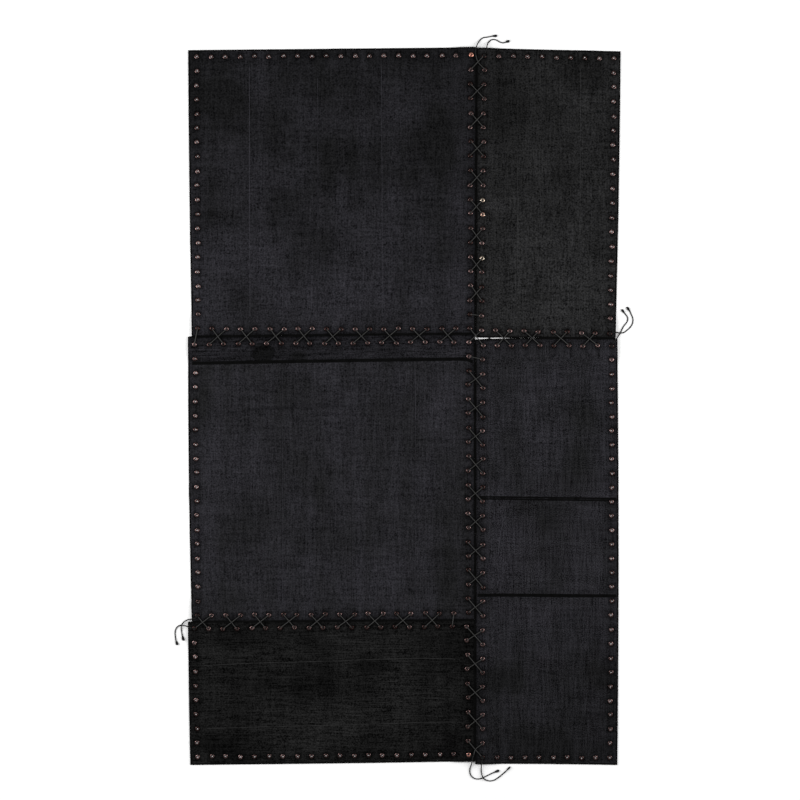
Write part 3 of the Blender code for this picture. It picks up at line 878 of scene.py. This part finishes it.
    def shade(self, p, q):
        """How much tone is left after painted shade by eyelets, laces, seams and creases."""
        place, s, t = self.spot(p, q)
        away = self.distances(s, t)
        near = min(away[side] for side in self.laced)
        left = 1 - SEAM_SHADE * math.exp(-((near / SEAM_SHADE_REACH) ** 2))
        left *= 1 - CREASE_SHADE * self.crease(place)
        if min(away.values()) > SHADED_BORDER:
            return left
        for start, end, reach, depth in self.painted_shade_lines:
            if abs(place.x - start.x) + abs(place.y - start.y) < 2 * SHADED_BORDER:
                share = line_distance(place, start, end) / reach
                left = min(left, 1 - depth * math.exp(-share * share))
        return left

    def is_border(self, row, column):
        return row in (0, self.rows - 1) or column in (0, self.columns - 1)

    def border(self):
        return [
            (row, column)
            for row in range(self.rows)
            for column in range(self.columns)
            if self.is_border(row, column)
        ]


def stations(count, near, far, pitch):
    """Grid lines through the cloth, with one narrow cell on each eyelet."""
    hole = HOLE_HALF / pitch
    steps = range(CELLS_IN_HEM + 1)
    lines = [between(-1.0, -HOLE_HALF / near, step / CELLS_IN_HEM) for step in steps]
    for index in range(count - 1):
        low, high = index + hole, index + 1 - hole
        steps = range(CELLS_BETWEEN_EYELETS + 1)
        lines += [between(low, high, step / CELLS_BETWEEN_EYELETS) for step in steps]
    steps = range(CELLS_IN_HEM + 1)
    lines += [count - 1 + between(HOLE_HALF / far, 1.0, step / CELLS_IN_HEM) for step in steps]
    return lines


def object_from(name, bm, materials, smooth=True):
    mesh = bpy.data.meshes.new(name)
    for face in bm.faces:
        face.smooth = smooth
    bm.to_mesh(mesh)
    bm.free()
    for material in materials:
        mesh.materials.append(material)
    piece = bpy.data.objects.new(name, mesh)
    bpy.context.scene.collection.objects.link(piece)
    return piece


def dress(piece, slot, *nodes):
    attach(piece, "root")
    if nodes:
        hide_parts(*nodes)
    return piece


def make_cloth(panel, swell, materials):
    s_low, s_high = panel.s_range
    t_low, t_high = panel.t_range
    p_pitch = (s_high - s_low) * panel.width / (panel.columns - 1)
    q_pitch = (t_high - t_low) * panel.height / (panel.rows - 1)
    columns = stations(panel.columns, s_low * panel.width, (1 - s_high) * panel.width, p_pitch)
    rows = stations(panel.rows, t_low * panel.height, (1 - t_high) * panel.height, q_pitch)
    bm = bmesh.new()
    shade = bm.verts.layers.float.new("shade")
    bmesh.ops.create_grid(bm, x_segments=len(columns) - 1, y_segments=len(rows) - 1, size=0.5)
    where = {}
    for vert in bm.verts:
        column = round((vert.co.x + 0.5) * (len(columns) - 1))
        row = round((0.5 - vert.co.y) * (len(rows) - 1))
        where[vert] = (columns[column], rows[row])
    holes = []
    for face in bm.faces:
        places = [where[vert] for vert in face.verts]
        (p_low, q_low), (p_high, q_high) = map(min, zip(*places)), map(max, zip(*places))
        column, row = math.ceil(p_low), math.ceil(q_low)
        on_eyelet = p_low < column < p_high and q_low < row < q_high
        if on_eyelet and panel.is_border(row, column):
            holes.append(face)
        share = panel.spot((p_low + p_high) / 2, (q_low + q_high) / 2)[2]
        face.material_index = next(i for i, (end, _) in enumerate(panel.lengths) if share <= end)
    bmesh.ops.delete(bm, geom=holes, context="FACES_ONLY")
    for vert in bm.verts:
        vert.co = panel.top(*where[vert], swell)
        # Painted shade, kept per vertex for the cloth's material.
        vert[shade] = panel.shade(*where[vert])
    raised = bmesh.ops.extrude_face_region(bm, geom=bm.faces[:], use_keep_orig=True)
    under = [item for item in raised["geom"] if isinstance(item, bmesh.types.BMVert)]
    bmesh.ops.translate(bm, verts=under, vec=(0, 0, -CLOTH_THICK))
    bmesh.ops.recalc_face_normals(bm, faces=bm.faces[:])
    return object_from(f"cloth_{panel.name}", bm, materials)


def smooth_route(points, spacing):
    """Evenly spaced points on a smooth curve through the given ones."""
    fine = []
    padded = [2 * points[0] - points[1]] + list(points) + [2 * points[-1] - points[-2]]
    steps = 16
    for before, start, end, after in zip(padded, padded[1:], padded[2:], padded[3:]):
        for step in range(steps):
            u = step / steps
            fine.append(
                0.5 * (
                    2 * start
                    + (end - before) * u
                    + (2 * before - 5 * start + 4 * end - after) * u ** 2
                    + (3 * start - before - 3 * end + after) * u ** 3
                )
            )
    fine.append(points[-1])
    return evenly(fine, spacing)


def evenly(fine, spacing):
    lengths = [0.0]
    for first, second in zip(fine, fine[1:]):
        lengths.append(lengths[-1] + (second - first).length)
    count = max(round(lengths[-1] / spacing), 2)
    route = []
    at = 0
    for index in range(count + 1):
        wanted = lengths[-1] * index / count
        while at < len(fine) - 2 and lengths[at + 1] < wanted:
            at += 1
        share = (wanted - lengths[at]) / max(lengths[at + 1] - lengths[at], 1e-9)
        route.append(between(fine[at], fine[at + 1], share))
    return route


def route_length(route):
    return sum((second - first).length for first, second in zip(route, route[1:]))


def directions(points, closed, upright):
    """Sideways and upward directions at each point of a route."""
    last = len(points) - 1
    side = (points[1] - points[0]).orthogonal().normalized()
    found = []
    for index in range(last + 1):
        before = points[index - 1] if index or closed else points[0]
        after = points[(index + 1) % (last + 1)] if index < last or closed else points[last]
        ahead = (after - before).normalized()
        if upright:
            side = ahead.cross(UP).normalized()
        else:
            side = (side - ahead * side.dot(ahead)).normalized()
        found.append((side, side.cross(ahead)))
    return found


def sweep_into(bm, points, sides, wall, closed=False, upright=False):
    """Adds a tube along points. wall(distance, angle) gives its half width and half height."""
    turns = directions(points, closed, upright)
    if closed:
        points = points + points[:1]
        turns = turns + turns[:1]
    reached = [0.0]
    for first, second in zip(points, points[1:]):
        reached.append(reached[-1] + (second - first).length)
    last = len(points) - 1
    made = bmesh.ops.create_grid(bm, x_segments=last, y_segments=sides, size=0.5)["verts"]
    uv = bm.loops.layers.uv.get("along") or bm.loops.layers.uv.new("along")
    place = {}
    for vert in made:
        index = round((vert.co.x + 0.5) * last)
        step = round((vert.co.y + 0.5) * sides)
        place[vert] = (reached[index], step / sides)
        angle = 2 * math.pi * step / sides
        wide, high = wall(reached[index], angle)
        side, up = turns[index]
        vert.co = points[index] + side * (wide * math.cos(angle)) + up * (high * math.sin(angle))
    faces = {face for vert in made for face in vert.link_faces}
    for face in faces:
        for loop in face.loops:
            loop[uv].uv = place[loop.vert]
    bmesh.ops.remove_doubles(bm, verts=made, dist=1e-6)
    if not closed:
        rims = [edge for edge in bm.edges if edge.is_boundary]
        bmesh.ops.holes_fill(bm, edges=rims, sides=sides)


def swept(name, routes, sides, wall, material, closed=False, upright=False):
    bm = bmesh.new()
    for route in routes:
        sweep_into(bm, route, sides, wall, closed, upright)
    bmesh.ops.recalc_face_normals(bm, faces=bm.faces[:])
    return object_from(name, bm, [material])


def round_wall(radius):
    return lambda distance, angle: (radius, radius)


STITCH_PITCH = 9.0 * MM
EDGE_SEGMENT = 4.5 * MM


def oversewn_wall(half_width, half_height):
    """Slanting turns of thread over an edge, tighter and looser by turns."""

    def wall(distance, angle):
        turns = math.cos(2 * math.pi * distance / STITCH_PITCH + angle)
        uneven = noise.noise((distance / 0.021, half_width * 900, 0.5))
        swollen = 1 + 0.13 * turns + 0.16 * uneven
        return half_width * swollen, half_height * swollen

    return wall


def make_edge(panel, swell, width, material):
    """Oversewn edge all round a panel."""
    half = width / 2
    last_p, last_q = panel.columns, panel.rows
    p_steps = [between(-1, last_p, step / 40) for step in range(40)]
    q_steps = [between(-1, last_q, step / 40) for step in range(40)]
    ring = [(p, -1) for p in p_steps] + [(last_p, q) for q in q_steps]
    ring += [(last_p - 1 - p, last_q) for p in p_steps] + [(-1, last_q - 1 - q) for q in q_steps]
    middle = sum(panel.corners, Vector((0, 0))) / 4
    tuck = {side: panel.tucks.get(side, 1.0) for side in ("left", "right", "top", "bottom")}
    fine = []
    for p, q in ring:
        point = panel.top(p, q, swell)
        place, s, t = panel.spot(p, q)
        inward = half * Vector((
            tuck["left"] if s < 0.001 else -tuck["right"] if s > 0.999 else 0.0,
            -tuck["top"] if t < 0.001 else tuck["bottom"] if t > 0.999 else 0.0,
            0.0,
        ))
        wander = EDGE_WANDER * noise.noise((point.x / 0.05, point.y / 0.05, middle.x))
        out = Vector((point.x - middle.x, point.y - middle.y, 0)).normalized() * wander
        level = Vector((0, 0, CLOTH_THICK / 2))
        fine.append(point - level + inward + out)
    route = evenly(fine + fine[:1], EDGE_SEGMENT)[:-1]
    wall = oversewn_wall(half, 2.3 * MM)
    for point in route:
        point.z = max(point.z, 2.9 * MM)
    name = f"edge_{panel.name}"
    return swept(name, [route], 8, wall, material, closed=True, upright=True)


def on_cloth(panel, x, y, swell):
    """The cloth's face above a plan position, found by stepping the eyelet count."""
    target = Vector((x, y)) * MM
    p, q = (panel.columns - 1) / 2, (panel.rows - 1) / 2
    for _ in range(6):
        here = panel.top(p, q, 0.0)
        p += (target.x - here.x) / (panel.width / panel.columns)
        q -= (target.y - here.y) / (panel.height / panel.rows)
        p = min(max(p, -0.99), panel.columns - 0.01)
        q = min(max(q, -0.99), panel.rows - 0.01)
    return panel.top(p, q, swell)


def line_on_cloth(panel, line, swell, sink):
    spots = smooth_route([Vector((x, y, 0)) for x, y in line], 30)
    return [on_cloth(panel, spot.x, spot.y, swell) - UP * sink for spot in spots]


def paint_shade_lines(panels, swell):
    """Marks painted shade on the cloth: round eyelets, along laces and at their crossings."""
    for panel in panels.values():
        for row, column in panel.border():
            spot = panel.top(column, row, swell).xy
            panel.painted_shade_lines.append((spot, spot, EYELET_SHADE_REACH, EYELET_SHADE))
    for name, (first, second) in facing_rows().items():
        spec = LACES[name]
        step = 1 if spec["last"] > spec["bar"] else -1
        pairs = list(range(spec["bar"], spec["last"] + step, step))
        for start, end in list(zip(pairs, pairs[1:]))[1::2]:
            ends = [first[start], second[end], second[start], first[end]]
            tops = [panels[place[0]].top(place[2], place[1], swell).xy for place in ends]
            middle = sum(tops, Vector((0.0, 0.0))) / 4
            lines = (
                (middle, middle, CROSSING_SHADE_REACH, CROSSING_SHADE),
                (tops[0], tops[1], LACE_SHADE_REACH, LACE_SHADE),
                (tops[2], tops[3], LACE_SHADE_REACH, LACE_SHADE),
            )
            for panel in sorted({place[0] for place in ends}):
                panels[panel].painted_shade_lines += lines


def uneven_wall(half, seed):
    """A flat ridge whose half width wanders along it."""

    def wall(distance, angle):
        return half * (1 + 0.5 * noise.noise((distance / 0.05, *seed))), 0.9 * MM

    return wall


def make_strip_joins(panel, swell, pale, dark):
    """Low ridges where narrow strips of cloth are joined edge to edge, and painted shade."""
    bm = bmesh.new()
    for ridge, groove, line in STRIP_JOINS[panel.name]:
        upright = abs(line[0][0] - line[-1][0]) < abs(line[0][1] - line[-1][1])
        # The second line, set to one side in the thread's colour, is painted shade beside the ridge.
        for half, offset in ((ridge, 0.0), (groove, -ridge - groove - 0.8)):
            if not half:
                continue
            aside = Vector((offset, 0)) if upright else Vector((0, -offset))
            shifted = [tuple(Vector(point) + aside) for point in line]
            route = smooth_route(line_on_cloth(panel, shifted, swell, 0.45 * MM), 8 * MM)
            start = len(bm.faces)
            wall = uneven_wall(half * MM, (offset, line[0][0]))
            sweep_into(bm, route, 6, wall, upright=True)
            bm.faces.ensure_lookup_table()
            for face in bm.faces[start:]:
                face.material_index = 1 if offset else 0
    bmesh.ops.recalc_face_normals(bm, faces=bm.faces[:])
    return object_from(f"strip_joins_{panel.name}", bm, [pale, dark])


def make_sewn_seams(panel, swell, material):
    """Black oversewn seams between lengths of cloth, each two edges side by side."""
    bm = bmesh.new()
    for line, apart, half in SEWN_SEAMS[panel.name]:
        for way in (-0.5, 0.5):
            shifted = [(x, y + way * apart) for x, y in line]
            route = smooth_route(line_on_cloth(panel, shifted, swell, 0.5 * MM), EDGE_SEGMENT)
            sweep_into(bm, route, 8, oversewn_wall(half * MM, 1.9 * MM), upright=True)
    bmesh.ops.recalc_face_normals(bm, faces=bm.faces[:])
    return object_from(f"sewn_seams_{panel.name}", bm, [material])


def make_stitch_marks(panel, swell, material):
    """Small black tufts where old stitches were."""
    chance = random.Random(11)
    bm = bmesh.new()
    for x, y in STITCH_MARKS[panel.name]:
        place = on_cloth(panel, x, y, swell)
        long = chance.uniform(3.6, 5.6) * MM
        wide = chance.uniform(2.6, 3.8) * MM
        turn = Matrix.Rotation(chance.uniform(0, math.pi), 4, "Z")
        size = Matrix.Diagonal((long, wide, 0.9 * MM, 1))
        bmesh.ops.create_icosphere(
            bm, subdivisions=2, radius=1.0, matrix=Matrix.Translation(place) @ turn @ size,
        )
    return object_from(f"stitch_marks_{panel.name}", bm, [material])


RING_SIDES = 10


def ring_template(bore, flange):
    """Rolled eyelet turned about +Z, its rim at zero and the rest of its underside in the cloth."""
    deep = -CLOTH_THICK
    profile = (
        (bore, deep), (bore, 0.7 * MM), (bore + 1.6 * MM, 1.8 * MM),
        (flange - 1.6 * MM, 1.6 * MM), (flange, 0.0), (bore + 1.0 * MM, deep),
    )
    bm = bmesh.new()
    verts = [bm.verts.new((radius, 0, height)) for radius, height in profile]
    edges = [bm.edges.new(pair) for pair in zip(verts, verts[1:] + verts[:1])]
    bmesh.ops.spin(
        bm, geom=verts + edges, cent=(0, 0, 0), axis=(0, 0, 1), angle=2 * math.pi,
        steps=RING_SIDES, use_merge=True,
    )
    bmesh.ops.remove_doubles(bm, verts=bm.verts[:], dist=1e-6)
    bmesh.ops.recalc_face_normals(bm, faces=bm.faces[:])
    mesh = bpy.data.meshes.new("ring_template")
    bm.to_mesh(mesh)
    bm.free()
    return mesh


def make_eyelets(panel, swell, template, material):
    chance = random.Random(f"rings {panel.name}")
    laced = {place for rows in facing_rows().values() for row in rows for place in row}
    bm = bmesh.new()
    tone = bm.verts.layers.float.new("tone")
    for row, column in panel.border():
        place = panel.top(column, row, swell)
        start = len(bm.verts)
        bm.from_mesh(template)
        bm.verts.ensure_lookup_table()
        new = bm.verts[start:]
        tilt = Matrix.Rotation(chance.uniform(-0.05, 0.05), 4, "X")
        tilt = tilt @ Matrix.Rotation(chance.uniform(-0.05, 0.05), 4, "Y")
        turn = Matrix.Rotation(chance.uniform(0, 1), 4, "Z")
        lift = UP * 0.3 * MM
        bmesh.ops.transform(bm, verts=new, matrix=Matrix.Translation(place + lift) @ tilt @ turn)
        spot = (panel.name, row, column)
        own = chance.uniform(0.0, 0.37) if spot in laced else chance.uniform(0.08, 0.48)
        # Rings under stopper knots are set darkest here: painted shade under the knot.
        own = BRIGHT_RINGS.get(spot, own)
        for vert in new:
            vert[tone] = own
    return object_from(f"eyelets_{panel.name}", bm, [material])


def facing_rows():
    """The two rows of eyelets that each lace joins: panel, row and column, pair by pair."""

    def column_of(name, column):
        return [(name, row, column) for row in range(PANELS[name]["rows"])]

    def row_of(name, row):
        return [(name, row, column) for column in range(PANELS[name]["columns"])]

    return {
        "upper_seam": (column_of("upper_left", 19), column_of("upper_right", 0)),
        "lower_seam": (
            column_of("middle_left", 19) + column_of("lower_left", 19),
            column_of("lower_right", 0),
        ),
        "cross_seam": (
            row_of("upper_left", 19) + row_of("upper_right", 19),
            row_of("middle_left", 0) + row_of("lower_right", 0),
        ),
        "left_seam": (row_of("middle_left", 19), row_of("lower_left", 0)),
    }


RIM_REACH = 8.5 * MM
OVER_LIFT = 1.9 * MM


def strand_route(rows, name, spec, strand, tops):
    """One strand from the bar to its end: under, up, over and down, changing sides."""
    step = 1 if spec["last"] > spec["bar"] else -1
    pairs = list(range(spec["bar"], spec["last"] + step, step))
    side = strand
    here = tops[rows[side][pairs[0]]]
    partner = tops[rows[1 - side][pairs[0]]]
    over = OVER_LIFT + CORD_RADIUS
    under = CLOTH_THICK + CORD_RADIUS + 2 * PIECE_GAP
    middle = between(here, partner, 0.5)
    points = [middle + UP * over]
    reach = (partner - here).normalized() * RIM_REACH
    points += [here + reach + UP * over, here - UP * (CLOTH_THICK / 2)]
    for order, pair in enumerate(pairs[1:]):
        below = order % 2 == 0
        before = tops[rows[side][pairs[order]]]
        side = 1 - side
        here = tops[rows[side][pair]]
        ahead = (here - before).normalized() * RIM_REACH
        level = -under if below else over
        crossing = 0.0
        if below and strand == 0:
            crossing = -2 * CORD_RADIUS - 0.2 * MM
        elif not below and strand == 1:
            crossing = 2 * CORD_RADIUS + 0.2 * MM
        middle = between(before, here, 0.5)
        points.append(before + ahead + UP * level)
        last = pair == pairs[-1]
        if last and not below and spec["ends"][side] == "beside":
            x, y = BESIDE_EYELET[name]
            points.append(middle + UP * (level + crossing))
            points.append(Vector((x * MM, y * MM, here.z + over)))
            continue
        points.append(middle + UP * (level + crossing))
        if last and not below:
            points.append(here - ahead * (STOP_KNOT_WIDE / RIM_REACH) + UP * (over + 1 * MM))
            continue
        points.append(here - ahead + UP * level)
        points.append(here - UP * (CLOTH_THICK / 2))
        if last:
            points.append(here + UP * (over + 0.5 * MM))
    return points


def make_lace(name, rows, spec, tops, material):
    first = strand_route(rows, name, spec, 0, tops)
    second = strand_route(rows, name, spec, 1, tops)
    points = list(reversed(first)) + second[1:]
    route = smooth_route(points, 4.0 * MM)
    piece = swept(f"laced_cord_{name}", [route], 8, round_wall(CORD_RADIUS), material)
    return dress(piece, "cord", f"lace_{name}")


def knot_route(size, height, turn):
    """A tight closed overhand knot, flattened."""
    route = []
    steps = 30
    for step in range(steps):
        angle = 2 * math.pi * step / steps
        ring = 2 + math.cos(3 * angle)
        flat = Vector((
            math.cos(2 * angle + turn) * ring * size / 3,
            math.sin(2 * angle + turn) * ring * size / 3,
            math.sin(3 * angle) * height,
        ))
        route.append(flat)
    return route


def make_stop_knot(name, place, material):
    """Knot over its eyelet: overhand turns on a filled core."""
    thick = 2.0 * MM
    turn = sum(ord(letter) for letter in name)
    centre = Vector((*place.xy, place.z + 1.9 * MM + STOP_KNOT_HIGH * 0.8))
    turns = knot_route(STOP_KNOT_WIDE - thick, STOP_KNOT_HIGH - thick, turn)
    route = [centre + point for point in turns]
    bm = bmesh.new()
    sweep_into(bm, route, 7, round_wall(thick), closed=True)
    core = Matrix.Translation(centre) @ Matrix.Diagonal((3.2 * MM, 3.2 * MM, 2.6 * MM, 1))
    bmesh.ops.create_icosphere(bm, subdivisions=2, radius=1.0, matrix=core)
    bmesh.ops.recalc_face_normals(bm, faces=bm.faces[:])
    piece = object_from(f"stopper_knot_{name}", bm, [material])
    return dress(piece, "knots", f"stop_knot_{name}")


KNOT_OUTLINE = (
    (0.0, 0.40), (0.14, 0.62), (0.34, 0.80), (0.52, 0.98), (0.70, 1.0), (0.86, 0.74), (1.0, 0.45),
)


def outline_at(share):
    for (low, first), (high, second) in zip(KNOT_OUTLINE, KNOT_OUTLINE[1:]):
        if share <= high:
            return between(first, second, (share - low) / (high - low))
    return KNOT_OUTLINE[-1][1]


def make_end_knot(name, start, spec, material):
    """Tight knot with a short flared tail of cord threads, lying on the floor."""
    tip = Vector((*spec["tip"], 0)) * MM
    flat_start = Vector((start.x, start.y, 0))
    along = tip - flat_start
    length = along.length
    half_width = spec["knot_width"] / 2 * MM
    points = [start + along * (step / 16) for step in range(17)]

    def wall(distance, angle):
        share = distance / length
        wide = max(half_width * outline_at(share), CORD_RADIUS * (1 - share))
        high = min(wide, END_KNOT_HIGH - 0.2 * MM)
        wraps = 0.08 * math.cos(2 * math.pi * distance / (3.6 * MM) + 2 * angle)
        threads = 0.10 * math.cos(7 * angle) * max(share - 0.55, 0) / 0.45
        swollen = 1 + wraps * (1 if share < 0.72 else 0.2) + threads
        return wide * swollen, high * swollen

    bm = bmesh.new()
    sweep_into(bm, points, 14, wall, upright=True)
    bmesh.ops.recalc_face_normals(bm, faces=bm.faces[:])
    piece = object_from(f"end_knot_{name}", bm, [material])
    return dress(piece, "knots", f"tail_knot_{name}")


def make_free_end(name, spec, cord_material, knot_material, diameter):
    """A free cord end with its knot, lying over the cloth's edge and on the floor."""
    hand_points = [Vector(point) * MM for point in spec["route"]]
    route = smooth_route(hand_points, 4.0 * MM)
    piece = swept(f"free_end_{name}", [route], 10, round_wall(diameter / 2), cord_material)
    dress(piece, "cord", f"tail_{name}")
    knot = make_end_knot(name, route[-1], spec, knot_material)
    route_length(route)


def cloth_materials(settings):
    """Every woven length's material. Where the bluish cloth is worn dark it is also greyer."""
    made = {}
    for name, weave in WEAVES.items():
        pale = Vector(getattr(settings, weave["colour"]))
        neutral = Vector((pale.x, pale.x, 0.6 * pale.x + 0.4 * pale.z))
        made[name] = woven_cloth(name, tuple(pale), tuple(neutral * weave["worn"]), weave)
    return made


def shared_material(name, make):
    """The named material, made on its first use."""
    return bpy.data.materials.get(name) or make()


class RUG_OT_stage(bpy.types.Operator):
    """Set up the floor, the lights and the camera straight above the rug"""

    bl_idname = "rug.stage"
    bl_label = "Stage"

    def execute(self, context):
        settings = context.scene.rug_stage
        scene = context.scene
        lens = 85.0
        sensor = 36.0
        camera = bpy.data.cameras.new("above")
        camera.lens = lens
        camera.sensor_width = sensor
        eye = bpy.data.objects.new("above", camera)
        x, y = settings.centre
        eye.location = (x, y, settings.frame_width * lens / sensor)
        scene.collection.objects.link(eye)
        scene.camera = eye

        bm = bmesh.new()
        bmesh.ops.create_grid(bm, x_segments=8, y_segments=8, size=20.0)
        bmesh.ops.translate(bm, verts=bm.verts[:], vec=(0, 0, -0.2 * MM))
        floor = object_from("studio_floor", bm, [plain_floor(tuple(settings.floor_colour))])

        world = bpy.data.worlds.new("soft_studio")
        world.use_nodes = True
        sky = world.node_tree.nodes["Background"]
        sky.inputs["Color"].default_value = (1.0, 1.0, 1.0, 1.0)
        sky.inputs["Strength"].default_value = 0.26
        scene.world = world

        for side, power in ((-1, 270), (1, 244)):
            softbox = bpy.data.lights.new("softbox", "AREA")
            softbox.shape = "RECTANGLE"
            softbox.size = 1.6
            softbox.size_y = 5.5
            softbox.energy = power
            lamp = bpy.data.objects.new("softbox", softbox)
            lamp.location = (side * 4.2, 0.3, 3.6)
            lamp.rotation_mode = "QUATERNION"
            lamp.rotation_quaternion = (-lamp.location).to_track_quat("-Z", "Y")
            scene.collection.objects.link(lamp)
        scene.view_settings.view_transform = "Standard"
        return {"FINISHED"}


class RUG_OT_free_ends(bpy.types.Operator):
    """Lay the eight free cord ends and their knots"""

    bl_idname = "rug.free_ends"
    bl_label = "Free cord ends"

    def execute(self, context):
        settings = context.scene.rug_cord
        cord = waxed_cord("free_cord", settings.end, 0.75)
        knot = shared_material("black_knot", lambda: waxed_cord("black_knot", settings.knot, 0.8))
        for name, spec in TAILS.items():
            make_free_end(name, spec, cord, knot, settings.end_diameter)
        return {"FINISHED"}


class RUG_OT_cloth(bpy.types.Operator):
    """Weave the five cloth panels and sew their edges, seams and strip joins"""

    bl_idname = "rug.cloth"
    bl_label = "Cloth panels"

    def execute(self, context):
        settings = context.scene.rug_cloth
        weaves = cloth_materials(settings)
        thread = sewing_thread("edge_thread", settings.thread)
        panels = {name: ClothPanel(name) for name in PANELS}
        # Lines of painted shade for every panel's cloth.
        paint_shade_lines(panels, settings.swell)
        for name, panel in panels.items():
            materials = [weaves[weave] for _, weave in panel.lengths]
            dark = name == "lower_left"
            slot = "dark_cloth" if dark else "cloth"
            cloth = dress(make_cloth(panel, settings.swell, materials), slot, *panel.nodes)
            sewn = [make_edge(panel, settings.swell, settings.edge_width, thread)]
            if STRIP_JOINS[name]:
                colour = WEAVES[panel.lengths[-1][1]]["colour"]
                ridge = rubbed_and_highlit_join(f"join_{name}", tuple(getattr(settings, colour)))
                sewn.append(make_strip_joins(panel, settings.swell, ridge, thread))
            if name in SEWN_SEAMS:
                sewn.append(make_sewn_seams(panel, settings.swell, thread))
            if name in STITCH_MARKS:
                sewn.append(make_stitch_marks(panel, settings.swell, thread))
            for piece in sewn:
                dress(piece, "dark_cloth")
        return {"FINISHED"}


class RUG_OT_eyelets(bpy.types.Operator):
    """Set a rolled eyelet in every hole round the panels"""

    bl_idname = "rug.eyelets"
    bl_label = "Eyelets"

    def execute(self, context):
        settings = context.scene.rug_eyelets
        swell = context.scene.rug_cloth.swell
        material = old_copper(settings)
        template = ring_template(settings.bore, settings.flange)
        number = 0
        for name, stated in STATED_EYELETS.items():
            piece = make_eyelets(ClothPanel(name), swell, template, material)
            nodes = [f"eyelet_{number + place + 1:02d}" for place in range(len(stated))]
            number += len(stated)
            dress(piece, "eyelets", *nodes)
        bpy.data.meshes.remove(template)
        return {"FINISHED"}


class RUG_OT_lacing(bpy.types.Operator):
    """Lace the panels together and tie the stopper knots"""

    bl_idname = "rug.lacing"
    bl_label = "Lacing"

    def execute(self, context):
        settings = context.scene.rug_cord
        swell = context.scene.rug_cloth.swell
        cord = waxed_cord("waxed_cord", settings.waxed, 0.5)
        knot = shared_material("black_knot", lambda: waxed_cord("black_knot", settings.knot, 0.8))
        panels = {name: ClothPanel(name) for name in PANELS}
        rows = facing_rows()
        tops = {
            (name, row, column): panel.top(column, row, swell)
            for name, panel in panels.items()
            for row, column in panel.border()
        }
        for name, spec in LACES.items():
            make_lace(name, rows[name], spec, tops, cord)
        knotted = {
            "top": ("upper_right", 0, 0),
            "bottom": ("lower_right", 29, 0),
            "right_1": ("upper_right", 19, 9),
            "right_2": ("lower_right", 0, 9),
            "left_1": ("middle_left", 19, 0),
            "left_2": ("lower_left", 0, 0),
        }
        for name, eyelet in knotted.items():
            make_stop_knot(name, tops[eyelet], knot)
        return {"FINISHED"}


class RUG_PT_pieces(bpy.types.Panel):
    """Sizes, colours and pieces of the patchwork rug"""

    bl_idname = "RUG_PT_pieces"
    bl_label = "Patchwork rug"
    bl_space_type = "VIEW_3D"
    bl_region_type = "UI"
    bl_category = "Rug"

    def draw(self, context):
        for group in GROUPS:
            box = self.layout.box()
            box.label(text=group.bl_rna.name)
            for name in group.__annotations__:
                box.prop(getattr(context.scene, GROUPS[group]), name)
        for operator in OPERATORS:
            self.layout.operator(operator.bl_idname)


GROUPS = {
    ClothSettings: "rug_cloth",
    EyeletSettings: "rug_eyelets",
    CordSettings: "rug_cord",
    StageSettings: "rug_stage",
}
OPERATORS = (RUG_OT_stage, RUG_OT_free_ends, RUG_OT_cloth, RUG_OT_eyelets, RUG_OT_lacing)


def register():
    for group, name in GROUPS.items():
        bpy.utils.register_class(group)
        setattr(bpy.types.Scene, name, PointerProperty(type=group))
    for operator in OPERATORS:
        bpy.utils.register_class(operator)
    bpy.utils.register_class(RUG_PT_pieces)


def unregister():
    bpy.utils.unregister_class(RUG_PT_pieces)
    for operator in reversed(OPERATORS):
        bpy.utils.unregister_class(operator)
    for group, name in GROUPS.items():
        delattr(bpy.types.Scene, name)
        bpy.utils.unregister_class(group)


def main():
    register()
    bpy.ops.rug.stage()
    bpy.ops.rug.free_ends()
    bpy.ops.rug.cloth()
    bpy.ops.rug.eyelets()
    bpy.ops.rug.lacing()


if __name__ == "__main__":
    main()
